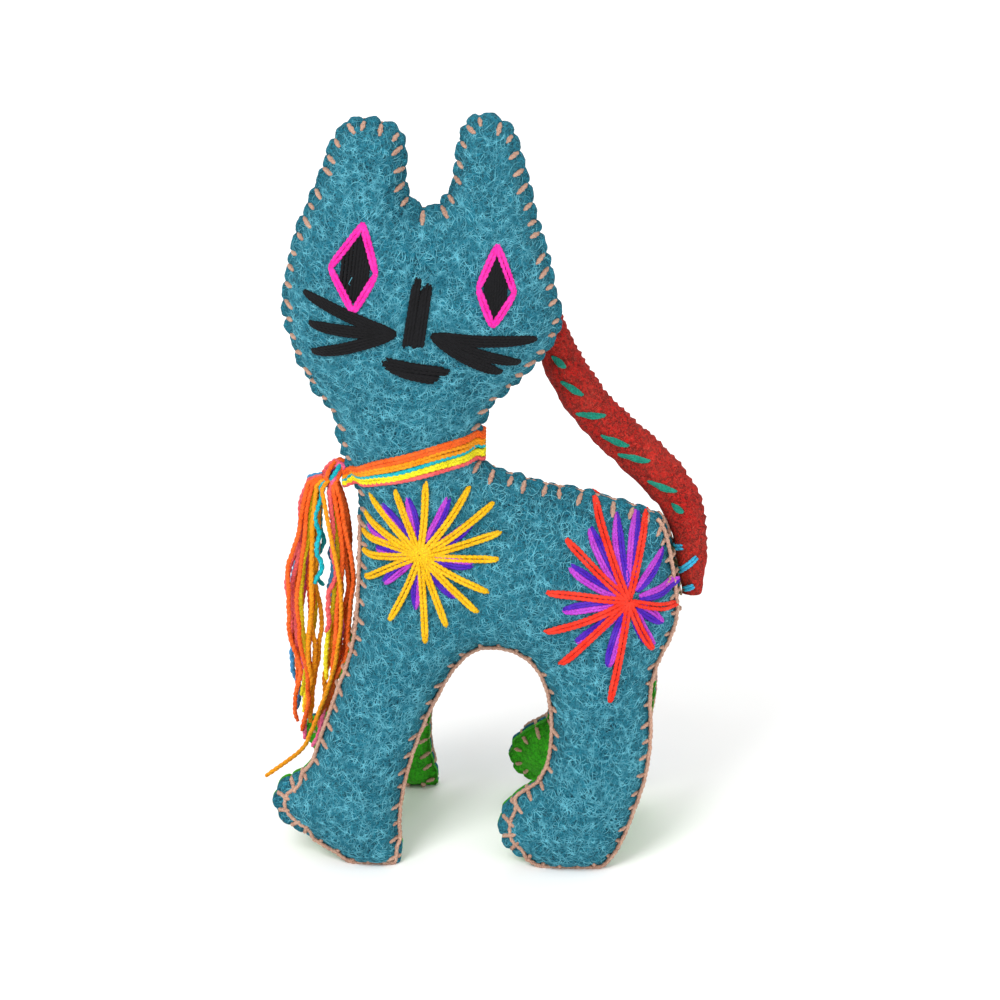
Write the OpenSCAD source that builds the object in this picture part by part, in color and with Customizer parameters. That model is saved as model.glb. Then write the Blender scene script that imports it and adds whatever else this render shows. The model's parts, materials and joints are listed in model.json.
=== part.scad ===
// Stuffed wool-felt cat: two side panels and an underside gusset sewn round a stuffing,
// a swinging felt tail, embroidered face and flowers, and a yarn scarf with a hanging tassel.

/* [Figure] */
// Height from the soles to the ear tips
figure_h = 200; // [190:1:210]
// Thickness of the felt
felt_t = 2.4; // [2:0.1:2.6]
// Distance of the foot seams from the middle plane
stance = 26; // [24:0.5:27]
// Share of the full stuffing, from slack to tight
fill = 1; // [0.9:0.02:1.05]
// How far the far front leg stands behind the near one
far_leg_lag = 7; // [0:0.5:7]

/* [Tail] */
// Thickest diameter of the tail
tail_d = 11.6; // [10:0.2:12]
// How far the tail's tip leans to the far side
tail_lean = 17; // [17:0.5:20]

/* [Yarn] */
// Diameter of one yarn
yarn_d = 1; // [0.8:0.1:1.1]
// Width of a scarf or tassel strand
strand_d = 0.95; // [0.8:0.05:1]
// Radius of the scarf's knot
knot_r = 3.4; // [3.2:0.1:3.6]

/* [Hidden] */

// Everything below is drawn for a figure 200 mm tall and scaled by k.
k = figure_h / 200;
lag_h = 50;
clear = 0.05;
stuffing_gap = 1.8;
leg_gap = 0.3;
// Grid steps of the felt sheets and of the hidden stuffing
panel_step = 7 * k;
gusset_step = 7 * k;
stuffing_step = 9 * k;

// Side outline as [x, z]: over the head and back from the chest to the rump ...
UPPER = [
    [-34.4, 92], [-35, 97], [-37.5, 104], [-39, 110], [-41.5, 118.8], [-46.8, 126.4],
    [-51.2, 136], [-53.6, 148], [-52.6, 160], [-48.7, 172], [-44.6, 182], [-42.2, 189],
    [-39.6, 194.8], [-35.8, 198.6], [-29.4, 198.3], [-24.2, 196.2], [-22.5, 189],
    [-22.3, 181], [-20, 175.8], [-15.5, 174.8], [-11.6, 177.4], [-9, 185], [-7.4, 193.4],
    [-5, 199.2], [0.2, 200], [5.3, 196.2], [8.6, 186], [12.1, 171], [15.5, 158],
    [17.8, 146], [15, 138], [7.9, 129.3], [1.3, 123], [-2.7, 116], [-3.5, 109.4],
    [-2.3, 104.9], [2.4, 102.2], [12, 99], [24, 96.7], [38, 92.7], [45, 89.2], [47.5, 82]
];
// ... and under the body from the rump round the feet and the arch to the chest.
LOWER = [
    [49.3, 72], [49.7, 66], [48, 60.3], [44.7, 53.5], [43, 46], [43.2, 36],
    [42.3, 26], [39.6, 17], [36.4, 8.5], [32.2, 2], [27, 0], [17, 0], [11, 2.4],
    [6.4, 5], [4.4, 9.2], [5.2, 14.8], [9, 19.2], [13.8, 22.4], [16.6, 28], [17.4, 37],
    [16.2, 45.8], [12.6, 52.3], [6.8, 56], [0, 56.9], [-5, 55.4], [-9.6, 50.8],
    [-14.2, 43], [-18.7, 33], [-21.7, 23], [-23.2, 13], [-22.9, 3], [-25, 0],
    [-34, 0], [-40, 3.2], [-46, 6.5], [-52, 9.8], [-55.6, 14.5], [-54.6, 19.8],
    [-50, 22.8], [-46.4, 26.2], [-44, 33], [-40.5, 43], [-37, 52.5], [-35, 62],
    [-34.4, 76]
];
// Height at which the two leg seams meet
seam_top = 92;
// Height and offset of the leg seams from the middle plane, as a share of the stance
SEAM_SPLAY = [[0, 1], [30, 0.72], [57, 0.4], [75, 0.18], [seam_top, 0]];
// Height and fullest half thickness of the stuffing, and how far in it is reached
PUFF = [[0, 7.5], [20, 9.5], [45, 11], [80, 16], [140, 16], [165, 13], [185, 8.5], [200, 5]];
PUFF_REACH = [[0, 13], [45, 16], [80, 28], [160, 26], [185, 12], [200, 8]];
// Height and share by which the gusset closes the gap between a leg pair
crotch_top = 60;
CROTCH = [[0, 0], [42, 0], [crotch_top, 1]];
// The gusset's strip round the belly, chest and rump
strip_low = 44;
strip_high = 90;
// Where the filling is split into legs, torso and head, with a small gap between the wads
leg_split = 53.8;
head_split = 117.8;
split_gap = 0.8;

// Tail centre line as [x, z, share of the lean] with its radius as a share of the thickest
TAIL = [
    [53.4, 68.2, 0.1, 0.4], [53.4, 72.5, 0.1, 0.52], [53.1, 77.5, 0.14, 0.66],
    [52.4, 84, 0.34, 0.8], [49.5, 91.4, 0.52, 0.96], [43.8, 98.8, 0.6, 1.01],
    [37.2, 105.2, 0.64, 1.01], [30.5, 111.4, 0.68, 1], [24.2, 118.2, 0.76, 0.96],
    [19.2, 126.2, 0.84, 0.9], [15.5, 134.4, 0.9, 0.8], [12.3, 142, 0.96, 0.68],
    [10.2, 147, 1, 0.4]
];

// Embroidery as [x, z] on the panels
LEFT_EYE = [[-32.4, 174.7], [-41, 162.8], [-34.8, 151.9], [-28.9, 161.9]];
RIGHT_EYE = [[2.4, 169.4], [-2.4, 158.6], [1.4, 148.3], [6.9, 156.5]];
NOSE_TOP = [-16.8, 160.3];
NOSE_FOOT = [-19.1, 143.4];
MOUTH_ENDS = [[-27.4, 138], [-11.8, 135.6]];
LEFT_WHISKERS = [[-23.7, 146.6], [-48.1, 155], [-46.6, 147], [-46, 139]];
RIGHT_WHISKERS = [[-14.3, 146.4], [12.5, 142.8], [8.2, 136.4], [3.4, 134.2]];
FRONT_FLOWER = [-17.6, 85.4];
REAR_FLOWER = [37.5, 74];
// Each flower's rays as [turn, length]
YELLOW_RAYS = [
    [86, 19.5], [112, 18.5], [137, 19], [157, 17.5], [176, 16.5], [193, 16.5],
    [213, 18.5], [246, 20], [274, 23.5], [291, 20.5], [316, 21.5], [334, 20.5],
    [358, 21], [14, 21.5], [32, 22.5], [52, 20.5]
];
FRONT_VIOLET_RAYS = [
    [133, 15.5], [103, 15.5], [63, 16], [30, 16], [352, 14.5], [311, 15], [266, 14.5],
    [224, 14], [186, 12.5], [165, 15]
];
RED_RAYS = [
    [114, 25], [139, 22.5], [173, 22], [201, 24], [224, 25], [260, 27], [294, 16],
    [338, 13.5], [78, 19]
];
REAR_VIOLET_RAYS = [
    [123, 20], [151, 18], [187, 17.5], [218, 18], [253, 18.5], [295, 15], [318, 12],
    [4, 13.5], [49, 12.6], [86, 19], [102, 19]
];

// Scarf strands from the top down as [colour, place]
SCARF = [
    ["orange", 0], ["orange", 1], ["amber", 2], ["amber", 3], ["turquoise", 4],
    ["yellow", 5], ["yellow", 6], ["coral", 7]
];
scarf_front_z = 100;
scarf_back_z = 110.2;
knot_x = -41.6;
knot_z = 101;

// Routes of the tassel's two bundles and of its one long strand, as [x, y, z] from the knot down
FRONT_BUNDLE = [
    [-46.4, 0, 98.4], [-47.9, 0, 91], [-48.6, 0, 82], [-49.6, 0, 73], [-50.3, 0, 64],
    [-50, 0, 55], [-49.4, 0, 46], [-49.6, 0, 38], [-50.6, 0, 30], [-51.6, 0, 22]
];
REAR_BUNDLE = [
    [-41.6, 0, 96.6], [-40.4, 0, 90], [-39.8, 0, 82], [-39.8, 0, 74], [-40.2, 0, 66],
    [-41, 0, 57], [-42.3, 0, 48], [-44.4, 0, 39], [-46.6, 0, 30], [-48.8, 0, 21]
];
LONG_STRAND = [
    [-44.4, -3.6, 97.4], [-42.8, -5, 88], [-40.6, -5.6, 76], [-39, -5.4, 66], [-38.8, -5, 56],
    [-40.8, -4.6, 46], [-43.8, -4.4, 37], [-47.6, -4.2, 29], [-53, -4, 21.6], [-60.4, -4, 14.6]
];
ROUTES = [FRONT_BUNDLE, REAR_BUNDLE, LONG_STRAND];
// Strands as [colour, route, place across the bundle, row in depth, share of the route]
STRANDS = [
    ["turquoise", 0, -1.5, -2, 0.36], ["amber", 0, -0.5, -2, 0.84], ["orange", 0, 0.5, -2, 0.9],
    ["orange", 0, 1.5, -2, 0.78], ["amber", 0, -1, -1, 0.88], ["yellow", 0, 0, -1, 0.86],
    ["coral", 0, 1, -1, 0.62], ["amber", 0, -1.5, 0, 0.9], ["orange", 0, -0.5, 0, 0.94],
    ["yellow", 0, 0.5, 0, 0.8], ["coral", 0, 1.5, 0, 0.6], ["orange", 0, -1, 1, 0.86],
    ["pink", 0, 0, 1, 0.98], ["orange", 0, 1, 1, 0.92], ["turquoise", 0, -1.5, 2, 0.4],
    ["yellow", 0, -0.5, 2, 0.84], ["amber", 0, 0.5, 2, 0.8], ["blue", 0, 1.5, 2, 0.88],
    ["orange", 1, -1, -2, 0.84], ["orange", 1, 0, -2, 0.9], ["coral", 1, 1, -2, 0.56],
    ["orange", 1, -0.5, -1, 0.8], ["yellow", 1, 0.5, -1, 0.74], ["orange", 1, -1, 0, 0.76],
    ["amber", 1, 0, 0, 0.86], ["blue", 1, 1, 0, 0.48], ["pink", 1, -0.5, 1, 1],
    ["yellow", 1, 0.5, 1, 0.6], ["orange", 1, -1, 2, 0.88], ["turquoise", 1, 0, 2, 0.44],
    ["blue", 1, 1, 2, 0.5], ["coral", 1, -0.5, 3, 0.94], ["amber", 2, 0, 0, 1]
];
// Gap between strands as [share of the way down, gap]
SPREAD = [[0, 1.1], [0.2, 1.9], [0.45, 2.6], [0.65, 2.2], [0.8, 1.7], [1, 1.6]];
row_gap = 1.1;

// ---- Curves ----
function spline_at(p0, p1, p2, p3, t) =
    0.5 * (2 * p1 + (p2 - p0) * t + (2 * p0 - 5 * p1 + 4 * p2 - p3) * t * t
        + (3 * p1 - p0 - 3 * p2 + p3) * t * t * t);
function pick(list, i) = list[max(0, min(len(list) - 1, i))];
function open_spline(p, steps) = [
    for (i = [0:len(p) - 2], s = [0:steps - 1])
        spline_at(pick(p, i - 1), p[i], p[i + 1], pick(p, i + 2), s / steps),
    p[len(p) - 1]
];
function closed_spline(p, steps) = let (n = len(p)) [
    for (i = [0:n - 1], s = [0:steps - 1])
        spline_at(p[(i + n - 1) % n], p[i], p[(i + 1) % n], p[(i + 2) % n], s / steps)
];
// A point a share of the way along an evenly stepped list
function along(p, share) = let (u = share * (len(p) - 1), i = max(0, min(len(p) - 2, floor(u))))
    p[i] + (p[i + 1] - p[i]) * (u - i);

// ---- The sewn body ----
// The far legs stand behind the near ones: the front one by the lag, the rear one by a share of it
rear_lag_share = 0.1;
front_leg_x = -5;
function lagged(p, lag) = [
    for (q = p)
        [q.x + lag * (q.x < front_leg_x ? 1 : rear_lag_share) * max(0, 1 - q.y / lag_h), q.y]
];
near_outline = k * closed_spline(concat(UPPER, LOWER), 2);
far_outline = k * closed_spline(concat(UPPER, lagged(LOWER, far_leg_lag)), 2);
upper_seam = k * open_spline(concat([LOWER[len(LOWER) - 1]], UPPER, [LOWER[0]]), 2);
near_lower_seam = k * open_spline(LOWER, 2);
far_lower_seam = k * open_spline(lagged(LOWER, far_leg_lag), 2);

function seam_y(z) = stance * k * lookup(z / k, SEAM_SPLAY);
function from_segment(p, a, b) =
    let (ab = b - a, t = max(0, min(1, ((p - a) * ab) / (ab * ab)))) norm(p - a - t * ab);
function crossings(p, shape) = let (n = len(shape)) len([
    for (i = [0:n - 1])
        let (a = shape[i], b = shape[(i + 1) % n])
            if ((a.y > p.y) != (b.y > p.y)
                && p.x < (b.x - a.x) * (p.y - a.y) / (b.y - a.y) + a.x) 1
]);
// Distance in from the outline, negative outside it
function depth(p, shape) =
    let (
        n = len(shape),
        d = min([for (i = [0:n - 1]) from_segment(p, shape[i], shape[(i + 1) % n])])
    ) crossings(p, shape) % 2 == 1 ? d : -d;
// Half thickness of the stuffing at a depth and height
function bulge(d, z) = d < 0 ? 1.3 * d :
    let (u = min(1, d / (k * lookup(z / k, PUFF_REACH))))
        fill * k * lookup(z / k, PUFF) * pow(u * (2 - u), 0.6);
function skin_y(p, shape = near_outline) =
    seam_y(p.y) + max(0, bulge(depth(p, shape), p.y)) + felt_t;

x_low = -60 * k;
x_high = 57 * k;
z_low = -5 * k;
z_high = 206 * k;
function count_x(step) = ceil((x_high - x_low) / step);
function count_z(step) = ceil((z_high - z_low) / step);
function grid_depths(shape, step) = [
    for (j = [0:count_z(step)])
        [for (i = [0:count_x(step)]) depth([x_low + i * step, z_low + j * step], shape)]
];
// A closed sheet between two surfaces given as y over the grid, the first one in front
module slab(front, back, step) {
    columns = count_x(step);
    rows = count_z(step);
    w = columns + 1;
    n = w * (rows + 1);
    function at(i, j) = j * w + i;
    polyhedron(
        points = [
            for (face = [front, back], j = [0:rows], i = [0:columns])
                [x_low + i * step, face[j][i], z_low + j * step]
        ],
        faces = [
            for (j = [0:rows - 1], i = [0:columns - 1]) each let (
                a = at(i, j), b = at(i + 1, j), c = at(i + 1, j + 1), d = at(i, j + 1)
            ) [[a, c, b], [a, d, c], [n + a, n + b, n + c], [n + a, n + c, n + d]],
            for (i = [0:columns - 1]) each [
                [at(i, 0), at(i + 1, 0), n + at(i + 1, 0)],
                [at(i, 0), n + at(i + 1, 0), n + at(i, 0)],
                [at(i, rows), n + at(i + 1, rows), at(i + 1, rows)],
                [at(i, rows), n + at(i, rows), n + at(i + 1, rows)]
            ],
            for (j = [0:rows - 1]) each [
                [at(0, j), n + at(0, j + 1), at(0, j + 1)],
                [at(0, j), n + at(0, j), n + at(0, j + 1)],
                [at(columns, j), at(columns, j + 1), n + at(columns, j + 1)],
                [at(columns, j), n + at(columns, j + 1), n + at(columns, j)]
            ]
        ]
    );
}
wide = 120 * k;
// The outline as a block right through the figure, cut flat at the soles
module block(shape, inset = 0) {
    intersection() {
        translate([0, wide / 2, 0]) rotate([90, 0, 0]) linear_extrude(wide)
            offset(delta = -inset) polygon(shape);
        translate([-wide, -wide, inset]) cube([2 * wide, 2 * wide, 2 * wide]);
    }
}
// The space between the two leg seams, grown by a margin
module between_seams(margin) {
    top = k * (seam_top + (margin > 0 ? 200 : 0));
    heights = [for (q = SEAM_SPLAY) if (q[1] > 0) k * q[0]];
    levels = concat([-10 * k], heights, [k * seam_top, top]);
    profile = [for (z = levels) [seam_y(max(0, z)) + margin, z]];
    mirrored = [for (i = [len(profile) - 1:-1:0]) [-profile[i].x, profile[i].y]];
    translate([-wide, 0, 0]) rotate([90, 0, 90]) linear_extrude(2 * wide)
        polygon(concat(profile, mirrored));
}
module near_half() {
    translate([-wide, -wide, -wide]) cube([2 * wide, wide, 4 * wide]);
}
// One felt side panel, on the near side
module side_panel(shape) {
    d = grid_depths(shape, panel_step);
    inner = [
        for (j = [0:len(d) - 1]) let (z = z_low + j * panel_step)
            [for (q = d[j]) -seam_y(z) - bulge(q, z)]
    ];
    outer = [for (row = inner) [for (y = row) y - felt_t]];
    resize([0, 0, 0]) intersection() {
        slab(outer, inner, panel_step);
        block(shape);
        difference() {
            near_half();
            between_seams(clear);
        }
    }
}
// The inner faces of one front and one rear leg, on the near side
module inner_legs(shape) {
    d = grid_depths(shape, gusset_step);
    inner = [
        for (j = [0:len(d) - 1]) let (z = z_low + j * gusset_step) [
            for (q = d[j]) -seam_y(z) * (1 - lookup(z / k, CROTCH)) + bulge(q, z)
        ]
    ];
    outer = [for (row = inner) [for (y = row) y + felt_t]];
    intersection() {
        slab(inner, outer, gusset_step);
        block(shape);
        translate([0, clear, 0]) near_half();
        between_seams(-clear);
        translate([-wide, -wide, -wide]) cube([2 * wide, 2 * wide, wide + crotch_top * k]);
    }
}
module gusset_strip() {
    intersection() {
        difference() {
            block(near_outline);
            block(near_outline, felt_t);
        }
        between_seams(-clear);
        translate([-wide, -wide, strip_low * k])
            cube([2 * wide, 2 * wide, (strip_high - strip_low) * k]);
    }
}
// The filling between a front and a back limit, kept clear of the felt
module stuffing(shape, low, high, one_leg) {
    d = grid_depths(shape, stuffing_step);
    function half(q, z) = max(0.4, bulge(q, z) - stuffing_gap);
    front = [
        for (j = [0:len(d) - 1]) let (z = z_low + j * stuffing_step)
            [for (q = d[j]) -seam_y(z) - half(q, z)]
    ];
    back = [
        for (j = [0:len(d) - 1]) let (z = z_low + j * stuffing_step, splay = lookup(z / k, CROTCH))
            [for (q = d[j]) (one_leg ? splay - 1 : 1) * seam_y(z) + half(q, z)]
    ];
    intersection() {
        slab(front, back, stuffing_step);
        block(shape, felt_t + 1.5 * stuffing_gap);
        translate([-wide, one_leg ? -2 * wide - leg_gap : -wide, low * k])
            cube([2 * wide, 2 * wide, (high - low) * k]);
    }
}

// ---- Yarn ----
function unit(v) = v / norm(v);
// A round tube along 3-D points, its radius a number or one number per point
module tube(path, r, sides = 6, closed = false) {
    n = len(path);
    function dir(i) = closed
        ? unit(path[(i + 1) % n] - path[(i + n - 1) % n])
        : unit(pick(path, i + 1) - pick(path, i - 1));
    side = [for (i = [0:n - 1]) let (t = dir(i), ref = abs(t.y) > 0.9 ? [0, 0, 1] : [0, 1, 0])
        unit(cross(t, ref))];
    points = [
        for (i = [0:n - 1], s = [0:sides - 1])
            let (q = is_list(r) ? r[i] : r, up = cross(side[i], dir(i)), a = 360 * s / sides)
                path[i] + q * (side[i] * cos(a) + up * sin(a))
    ];
    last = closed ? n - 1 : n - 2;
    faces = [
        for (i = [0:last], s = [0:sides - 1]) each let (
            a = i * sides + s, b = i * sides + (s + 1) % sides,
            c = (i + 1) % n * sides + (s + 1) % sides, d = (i + 1) % n * sides + s
        ) [[a, b, c], [a, c, d]]
    ];
    ends = closed ? [] : [
        [for (s = [sides - 1:-1:0]) s],
        [for (s = [0:sides - 1]) (n - 1) * sides + s]
    ];
    polyhedron(points = points, faces = concat(faces, ends));
}
// A point [x, z] laid on the near panel's skin, raised by lift
function on_skin(p, lift, shape = near_outline) = [p.x, -skin_y(p, shape) - lift, p.y];
// One stitch between two skin points, thin at both ends
module stitch(from, to, d, lift, bands = 2, shape = near_outline) {
    path = [for (i = [0:bands]) on_skin(from + (to - from) * i / bands, lift, shape)];
    r = [for (i = [0:bands]) d / 2 * (i == 0 || i == bands ? 0.6 : 1)];
    tube(path, r, 5);
}
module rays(centre, list, d, lift, shift, start) {
    resize([0, 0, 0]) union() for (ray = list) {
        dir = [cos(ray[0]), sin(ray[0])];
        aside = shift * [-dir.y, dir.x];
        stitch(k * (centre + aside + start * dir), k * (centre + aside + ray[1] * dir), d, lift);
    }
}
module seam_thread(path, side) {
    r = yarn_d / 2;
    tube([for (p = path) [p.x, side * seam_y(p.y), max(p.y, r)]], r, 4);
}

// ---- Sub-parts ----
module near_side_panel() color("#2e7d8e") side_panel(near_outline);
module far_side_panel() color("#2e7d8e") mirror([0, 1, 0]) side_panel(far_outline);
module belly_gusset() color("#1f8f14") resize([0, 0, 0]) union() {
    inner_legs(near_outline);
    mirror([0, 1, 0]) inner_legs(far_outline);
    gusset_strip();
}
module head_stuffing() color("#efe9da") resize([0, 0, 0])
    stuffing(near_outline, head_split + split_gap / 2, z_high / k, false);
module torso_stuffing() color("#efe9da") resize([0, 0, 0])
    stuffing(near_outline, leg_split + split_gap / 2, head_split - split_gap / 2, false);
module leg_stuffing() color("#efe9da") resize([0, 0, 0]) union() {
    stuffing(near_outline, 0, leg_split - split_gap / 2, true);
    mirror([0, 1, 0]) stuffing(far_outline, 0, leg_split - split_gap / 2, true);
}

module head_and_back_seam_thread() color("#cda587") seam_thread(upper_seam, -1);
module near_leg_seam_thread() color("#cda587") seam_thread(near_lower_seam, -1);
module far_leg_seam_thread() color("#cda587") seam_thread(far_lower_seam, 1);

tail_line = open_spline([for (q = TAIL) [q[0] * k, q[2] * tail_lean, q[1] * k]], 2);
tail_radii = open_spline([for (q = TAIL) [q[3] * tail_d / 2]], 2);
// Section frame of the tail: across it in the side view, and square to that
function tail_dir(i) = unit(pick(tail_line, i + 1) - pick(tail_line, i - 1));
function tail_across(i) = unit(cross(tail_dir(i), [0, 1, 0]));
function tail_skin(i, angle, grow) =
    tail_line[i] + (tail_radii[i][0] + grow)
        * (tail_across(i) * cos(angle) + cross(tail_across(i), tail_dir(i)) * sin(angle));
slit = 24;
// Radii of the hole in the sleeve and of the core, as shares of the tail's radius
sleeve_hole = 0.55;
core_share = 0.5;
// A felt strip folded round the core, with its open edge on the near side
module tail_sleeve() {
    arc = 10;
    n = len(tail_line);
    w = 2 * (arc + 1);
    function ring(i) = let (r = tail_radii[i][0]) [
        for (s = [0:arc]) tail_skin(i, -90 + slit / 2 + s * (360 - slit) / arc, 0),
        for (s = [arc:-1:0]) tail_skin(i, -90 + slit / 2 + s * (360 - slit) / arc, (sleeve_hole - 1) * r)
    ];
    color("#be2823") resize([0, 0, 0]) polyhedron(
        points = [for (i = [0:n - 1]) each ring(i)],
        faces = [
            for (i = [0:n - 2], s = [0:w - 1]) each let (
                a = i * w + s, b = i * w + (s + 1) % w, c = a + w, d = b + w
            ) [[a, b, d], [a, d, c]],
            for (s = [0:arc - 1]) each let (a = s, b = s + 1, c = w - 2 - s, d = w - 1 - s)
                [[a, d, b], [b, d, c]],
            for (s = [0:arc - 1]) each let (
                e = (n - 1) * w, a = e + s, b = e + s + 1, c = e + w - 2 - s, d = e + w - 1 - s
            ) [[a, b, d], [b, c, d]]
        ]
    );
}
module tail_core() color("#8e1d1a")
    tube(tail_line, [for (r = tail_radii) core_share * r[0]], 6);
// Slanting stitches that close the tail's open edge
WHIP_SPOTS = [5, 7, 9, 11, 13, 15, 17, 19];
module tail_whip_stitches() color("#0a8a70") for (i = WHIP_SPOTS)
    tube([for (s = [-1:0.5:1]) tail_skin(i, -90 + 40 * s, 0.25) + tail_dir(i) * 1.6 * s],
        yarn_d / 2, 5);
// Two loops round the root, just clear of the rump
module tail_root_stitches() color("#32b9e6") for (i = [1, 3])
    tube([for (a = [-150:30:-30]) tail_skin(i, a, 0.1) + tail_dir(i) * a / 120],
        yarn_d / 2, 5);

module eye_outline(points) color("#ff1eb4") resize([0, 0, 0]) union() for (i = [0:3])
    stitch(k * points[i], k * points[(i + 1) % 4], 1.8 * yarn_d, 0.3);
// A satin-stitched lens between the top and the foot of an eye
module pupil(points) color("#15151a") resize([0, 0, 0]) union() {
    top = k * (points[0] * 0.8 + points[2] * 0.2);
    foot = k * (points[0] * 0.14 + points[2] * 0.86);
    across = k * (points[3] - points[1]) / 2 * 0.42;
    for (s = [-1:0.5:1])
        stitch(top * (1 - 0.2 * abs(s)) + foot * 0.2 * abs(s) + across * s,
            foot * (1 - 0.2 * abs(s)) + top * 0.2 * abs(s) + across * s, 1.5 * yarn_d, 0.1);
}
module left_eye_outline() eye_outline(LEFT_EYE);
module right_eye_outline() eye_outline(RIGHT_EYE);
module left_pupil() pupil(LEFT_EYE);
module right_pupil() pupil(RIGHT_EYE);
module nose_stitches() color("#15151a") resize([0, 0, 0]) union() for (s = [-2:2])
    stitch(k * (NOSE_TOP + [s, 0]), k * (NOSE_FOOT + [s, 0]), 1.3 * yarn_d, 0.2);
module mouth_stitches() color("#15151a") resize([0, 0, 0]) union() for (s = [-1.5:1.5])
    stitch(k * (MOUTH_ENDS[0] + [0.6, 1.1] * s), k * (MOUTH_ENDS[1] + [0.6, 1.1] * s),
        1.4 * yarn_d, 0.2);
module whiskers(list) color("#15151a") resize([0, 0, 0]) union() for (i = [1:3])
    stitch(k * list[0], k * list[i], 1.8 * yarn_d, 0.2);
module left_whiskers() whiskers(LEFT_WHISKERS);
module right_whiskers() whiskers(RIGHT_WHISKERS);

module flower_top(centre, list, tint) color(tint) rays(centre, list, 1.7 * yarn_d, 0.8, 0, 1);
module flower_under(centre, list, tint, shift)
    color(tint) rays(centre, list, 1.2 * yarn_d, 0.1, shift, 4.5);
violet = "#be3cd7";
indigo = "#4b14be";
module near_front_flower_yellow() flower_top(FRONT_FLOWER, YELLOW_RAYS, "#fcc800");
module near_front_flower_violet() flower_under(FRONT_FLOWER, FRONT_VIOLET_RAYS, violet, 0.6);
module near_front_flower_indigo() flower_under(FRONT_FLOWER, FRONT_VIOLET_RAYS, indigo, -0.6);
module near_rear_flower_red() flower_top(REAR_FLOWER, RED_RAYS, "#ff3219");
module near_rear_flower_violet() flower_under(REAR_FLOWER, REAR_VIOLET_RAYS, violet, 0.6);
module near_rear_flower_indigo() flower_under(REAR_FLOWER, REAR_VIOLET_RAYS, indigo, -0.6);
module far_front_flower_yellow() mirror([0, 1, 0]) near_front_flower_yellow();
module far_front_flower_violet() mirror([0, 1, 0]) near_front_flower_violet();
module far_front_flower_indigo() mirror([0, 1, 0]) near_front_flower_indigo();
module far_rear_flower_red() mirror([0, 1, 0]) near_rear_flower_red();
module far_rear_flower_violet() mirror([0, 1, 0]) near_rear_flower_violet();
module far_rear_flower_indigo() mirror([0, 1, 0]) near_rear_flower_indigo();

// A strand that runs once round the neck, place 0 at the top
scarf_x = [-38.7, -1.8];
scarf_pitch = 1.02;
// How far the strands ride up at the sides of the neck
scarf_lift = 4;
scarf_turns = 22;
function scarf_ring(place) = [
    for (i = [0:scarf_turns - 1]) let (
        a = 360 * (i + 0.5) / scarf_turns,
        share = (1 + cos(a)) / 2,
        z = k * (scarf_front_z + (scarf_back_z - scarf_front_z) * share
            + scarf_lift * sin(a) * sin(a) + (3.5 - place) * scarf_pitch),
        x = k * (scarf_x[0] + (scarf_x[1] - scarf_x[0]) * share)
    ) [x, -sign(sin(a)) * (skin_y([x, z]) + strand_d / 2 + 0.7), z]
];
module scarf(colour, tint) color(tint) resize([0, 0, 0]) union()
    for (s = SCARF) if (s[0] == colour) tube(scarf_ring(s[1]), strand_d / 2, 4, true);
module scarf_orange() scarf("orange", "#ff5a14");
module scarf_amber() scarf("amber", "#fa9600");
module scarf_turquoise() scarf("turquoise", "#00bec8");
module scarf_yellow() scarf("yellow", "#fff514");
module scarf_coral() scarf("coral", "#fa6464");
module scarf_knot() color("#f06478") translate([knot_x * k, 0, knot_z * k]) sphere(r = knot_r, $fn = 48);

// One strand: beside its branch's route, spreading from the knot down, cut at its own share
rings_per_strand = 5;
function strand_path(s) = let (route = open_spline(ROUTES[s[1]], 3)) [
    for (i = [0:rings_per_strand]) let (
        u = i / rings_per_strand * s[4],
        way = unit(along(route, min(1, u + 0.02)) - along(route, u - 0.02)),
        across = unit(cross(way, [0, 1, 0])),
        gap = lookup(u, SPREAD)
    ) k * (along(route, u) - across * s[2] * gap + [0, s[3] * row_gap * (gap + 1) / 2, 0])
];
module tassel(colour, tint) color(tint) for (s = STRANDS) if (s[0] == colour)
    tube(strand_path(s), strand_d / 2, 8);
module tassel_turquoise() tassel("turquoise", "#00bec8");
module tassel_amber() tassel("amber", "#fa9600");
module tassel_orange() tassel("orange", "#ff5a14");
module tassel_coral() tassel("coral", "#fa6464");
module tassel_yellow() tassel("yellow", "#fff514");
module tassel_pink() tassel("pink", "#ff6ea0");
module tassel_blue() tassel("blue", "#4696d2");

near_side_panel();
far_side_panel();
belly_gusset();
head_stuffing();
torso_stuffing();
leg_stuffing();
head_and_back_seam_thread();
near_leg_seam_thread();
far_leg_seam_thread();
tail_sleeve();
tail_core();
tail_whip_stitches();
tail_root_stitches();
left_eye_outline();
left_pupil();
right_eye_outline();
right_pupil();
nose_stitches();
mouth_stitches();
left_whiskers();
right_whiskers();
near_front_flower_yellow();
near_front_flower_violet();
near_front_flower_indigo();
near_rear_flower_red();
near_rear_flower_violet();
near_rear_flower_indigo();
far_front_flower_yellow();
far_front_flower_violet();
far_front_flower_indigo();
far_rear_flower_red();
far_rear_flower_violet();
far_rear_flower_indigo();
scarf_orange();
scarf_amber();
scarf_turquoise();
scarf_yellow();
scarf_coral();
scarf_knot();
tassel_turquoise();
tassel_amber();
tassel_orange();
tassel_coral();
tassel_yellow();
tassel_pink();
tassel_blue();
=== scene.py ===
import json
import math

import bpy
import numpy as np
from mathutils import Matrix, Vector, noise
from mathutils.bvhtree import BVHTree
from mathutils.geometry import delaunay_2d_cdt


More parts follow.
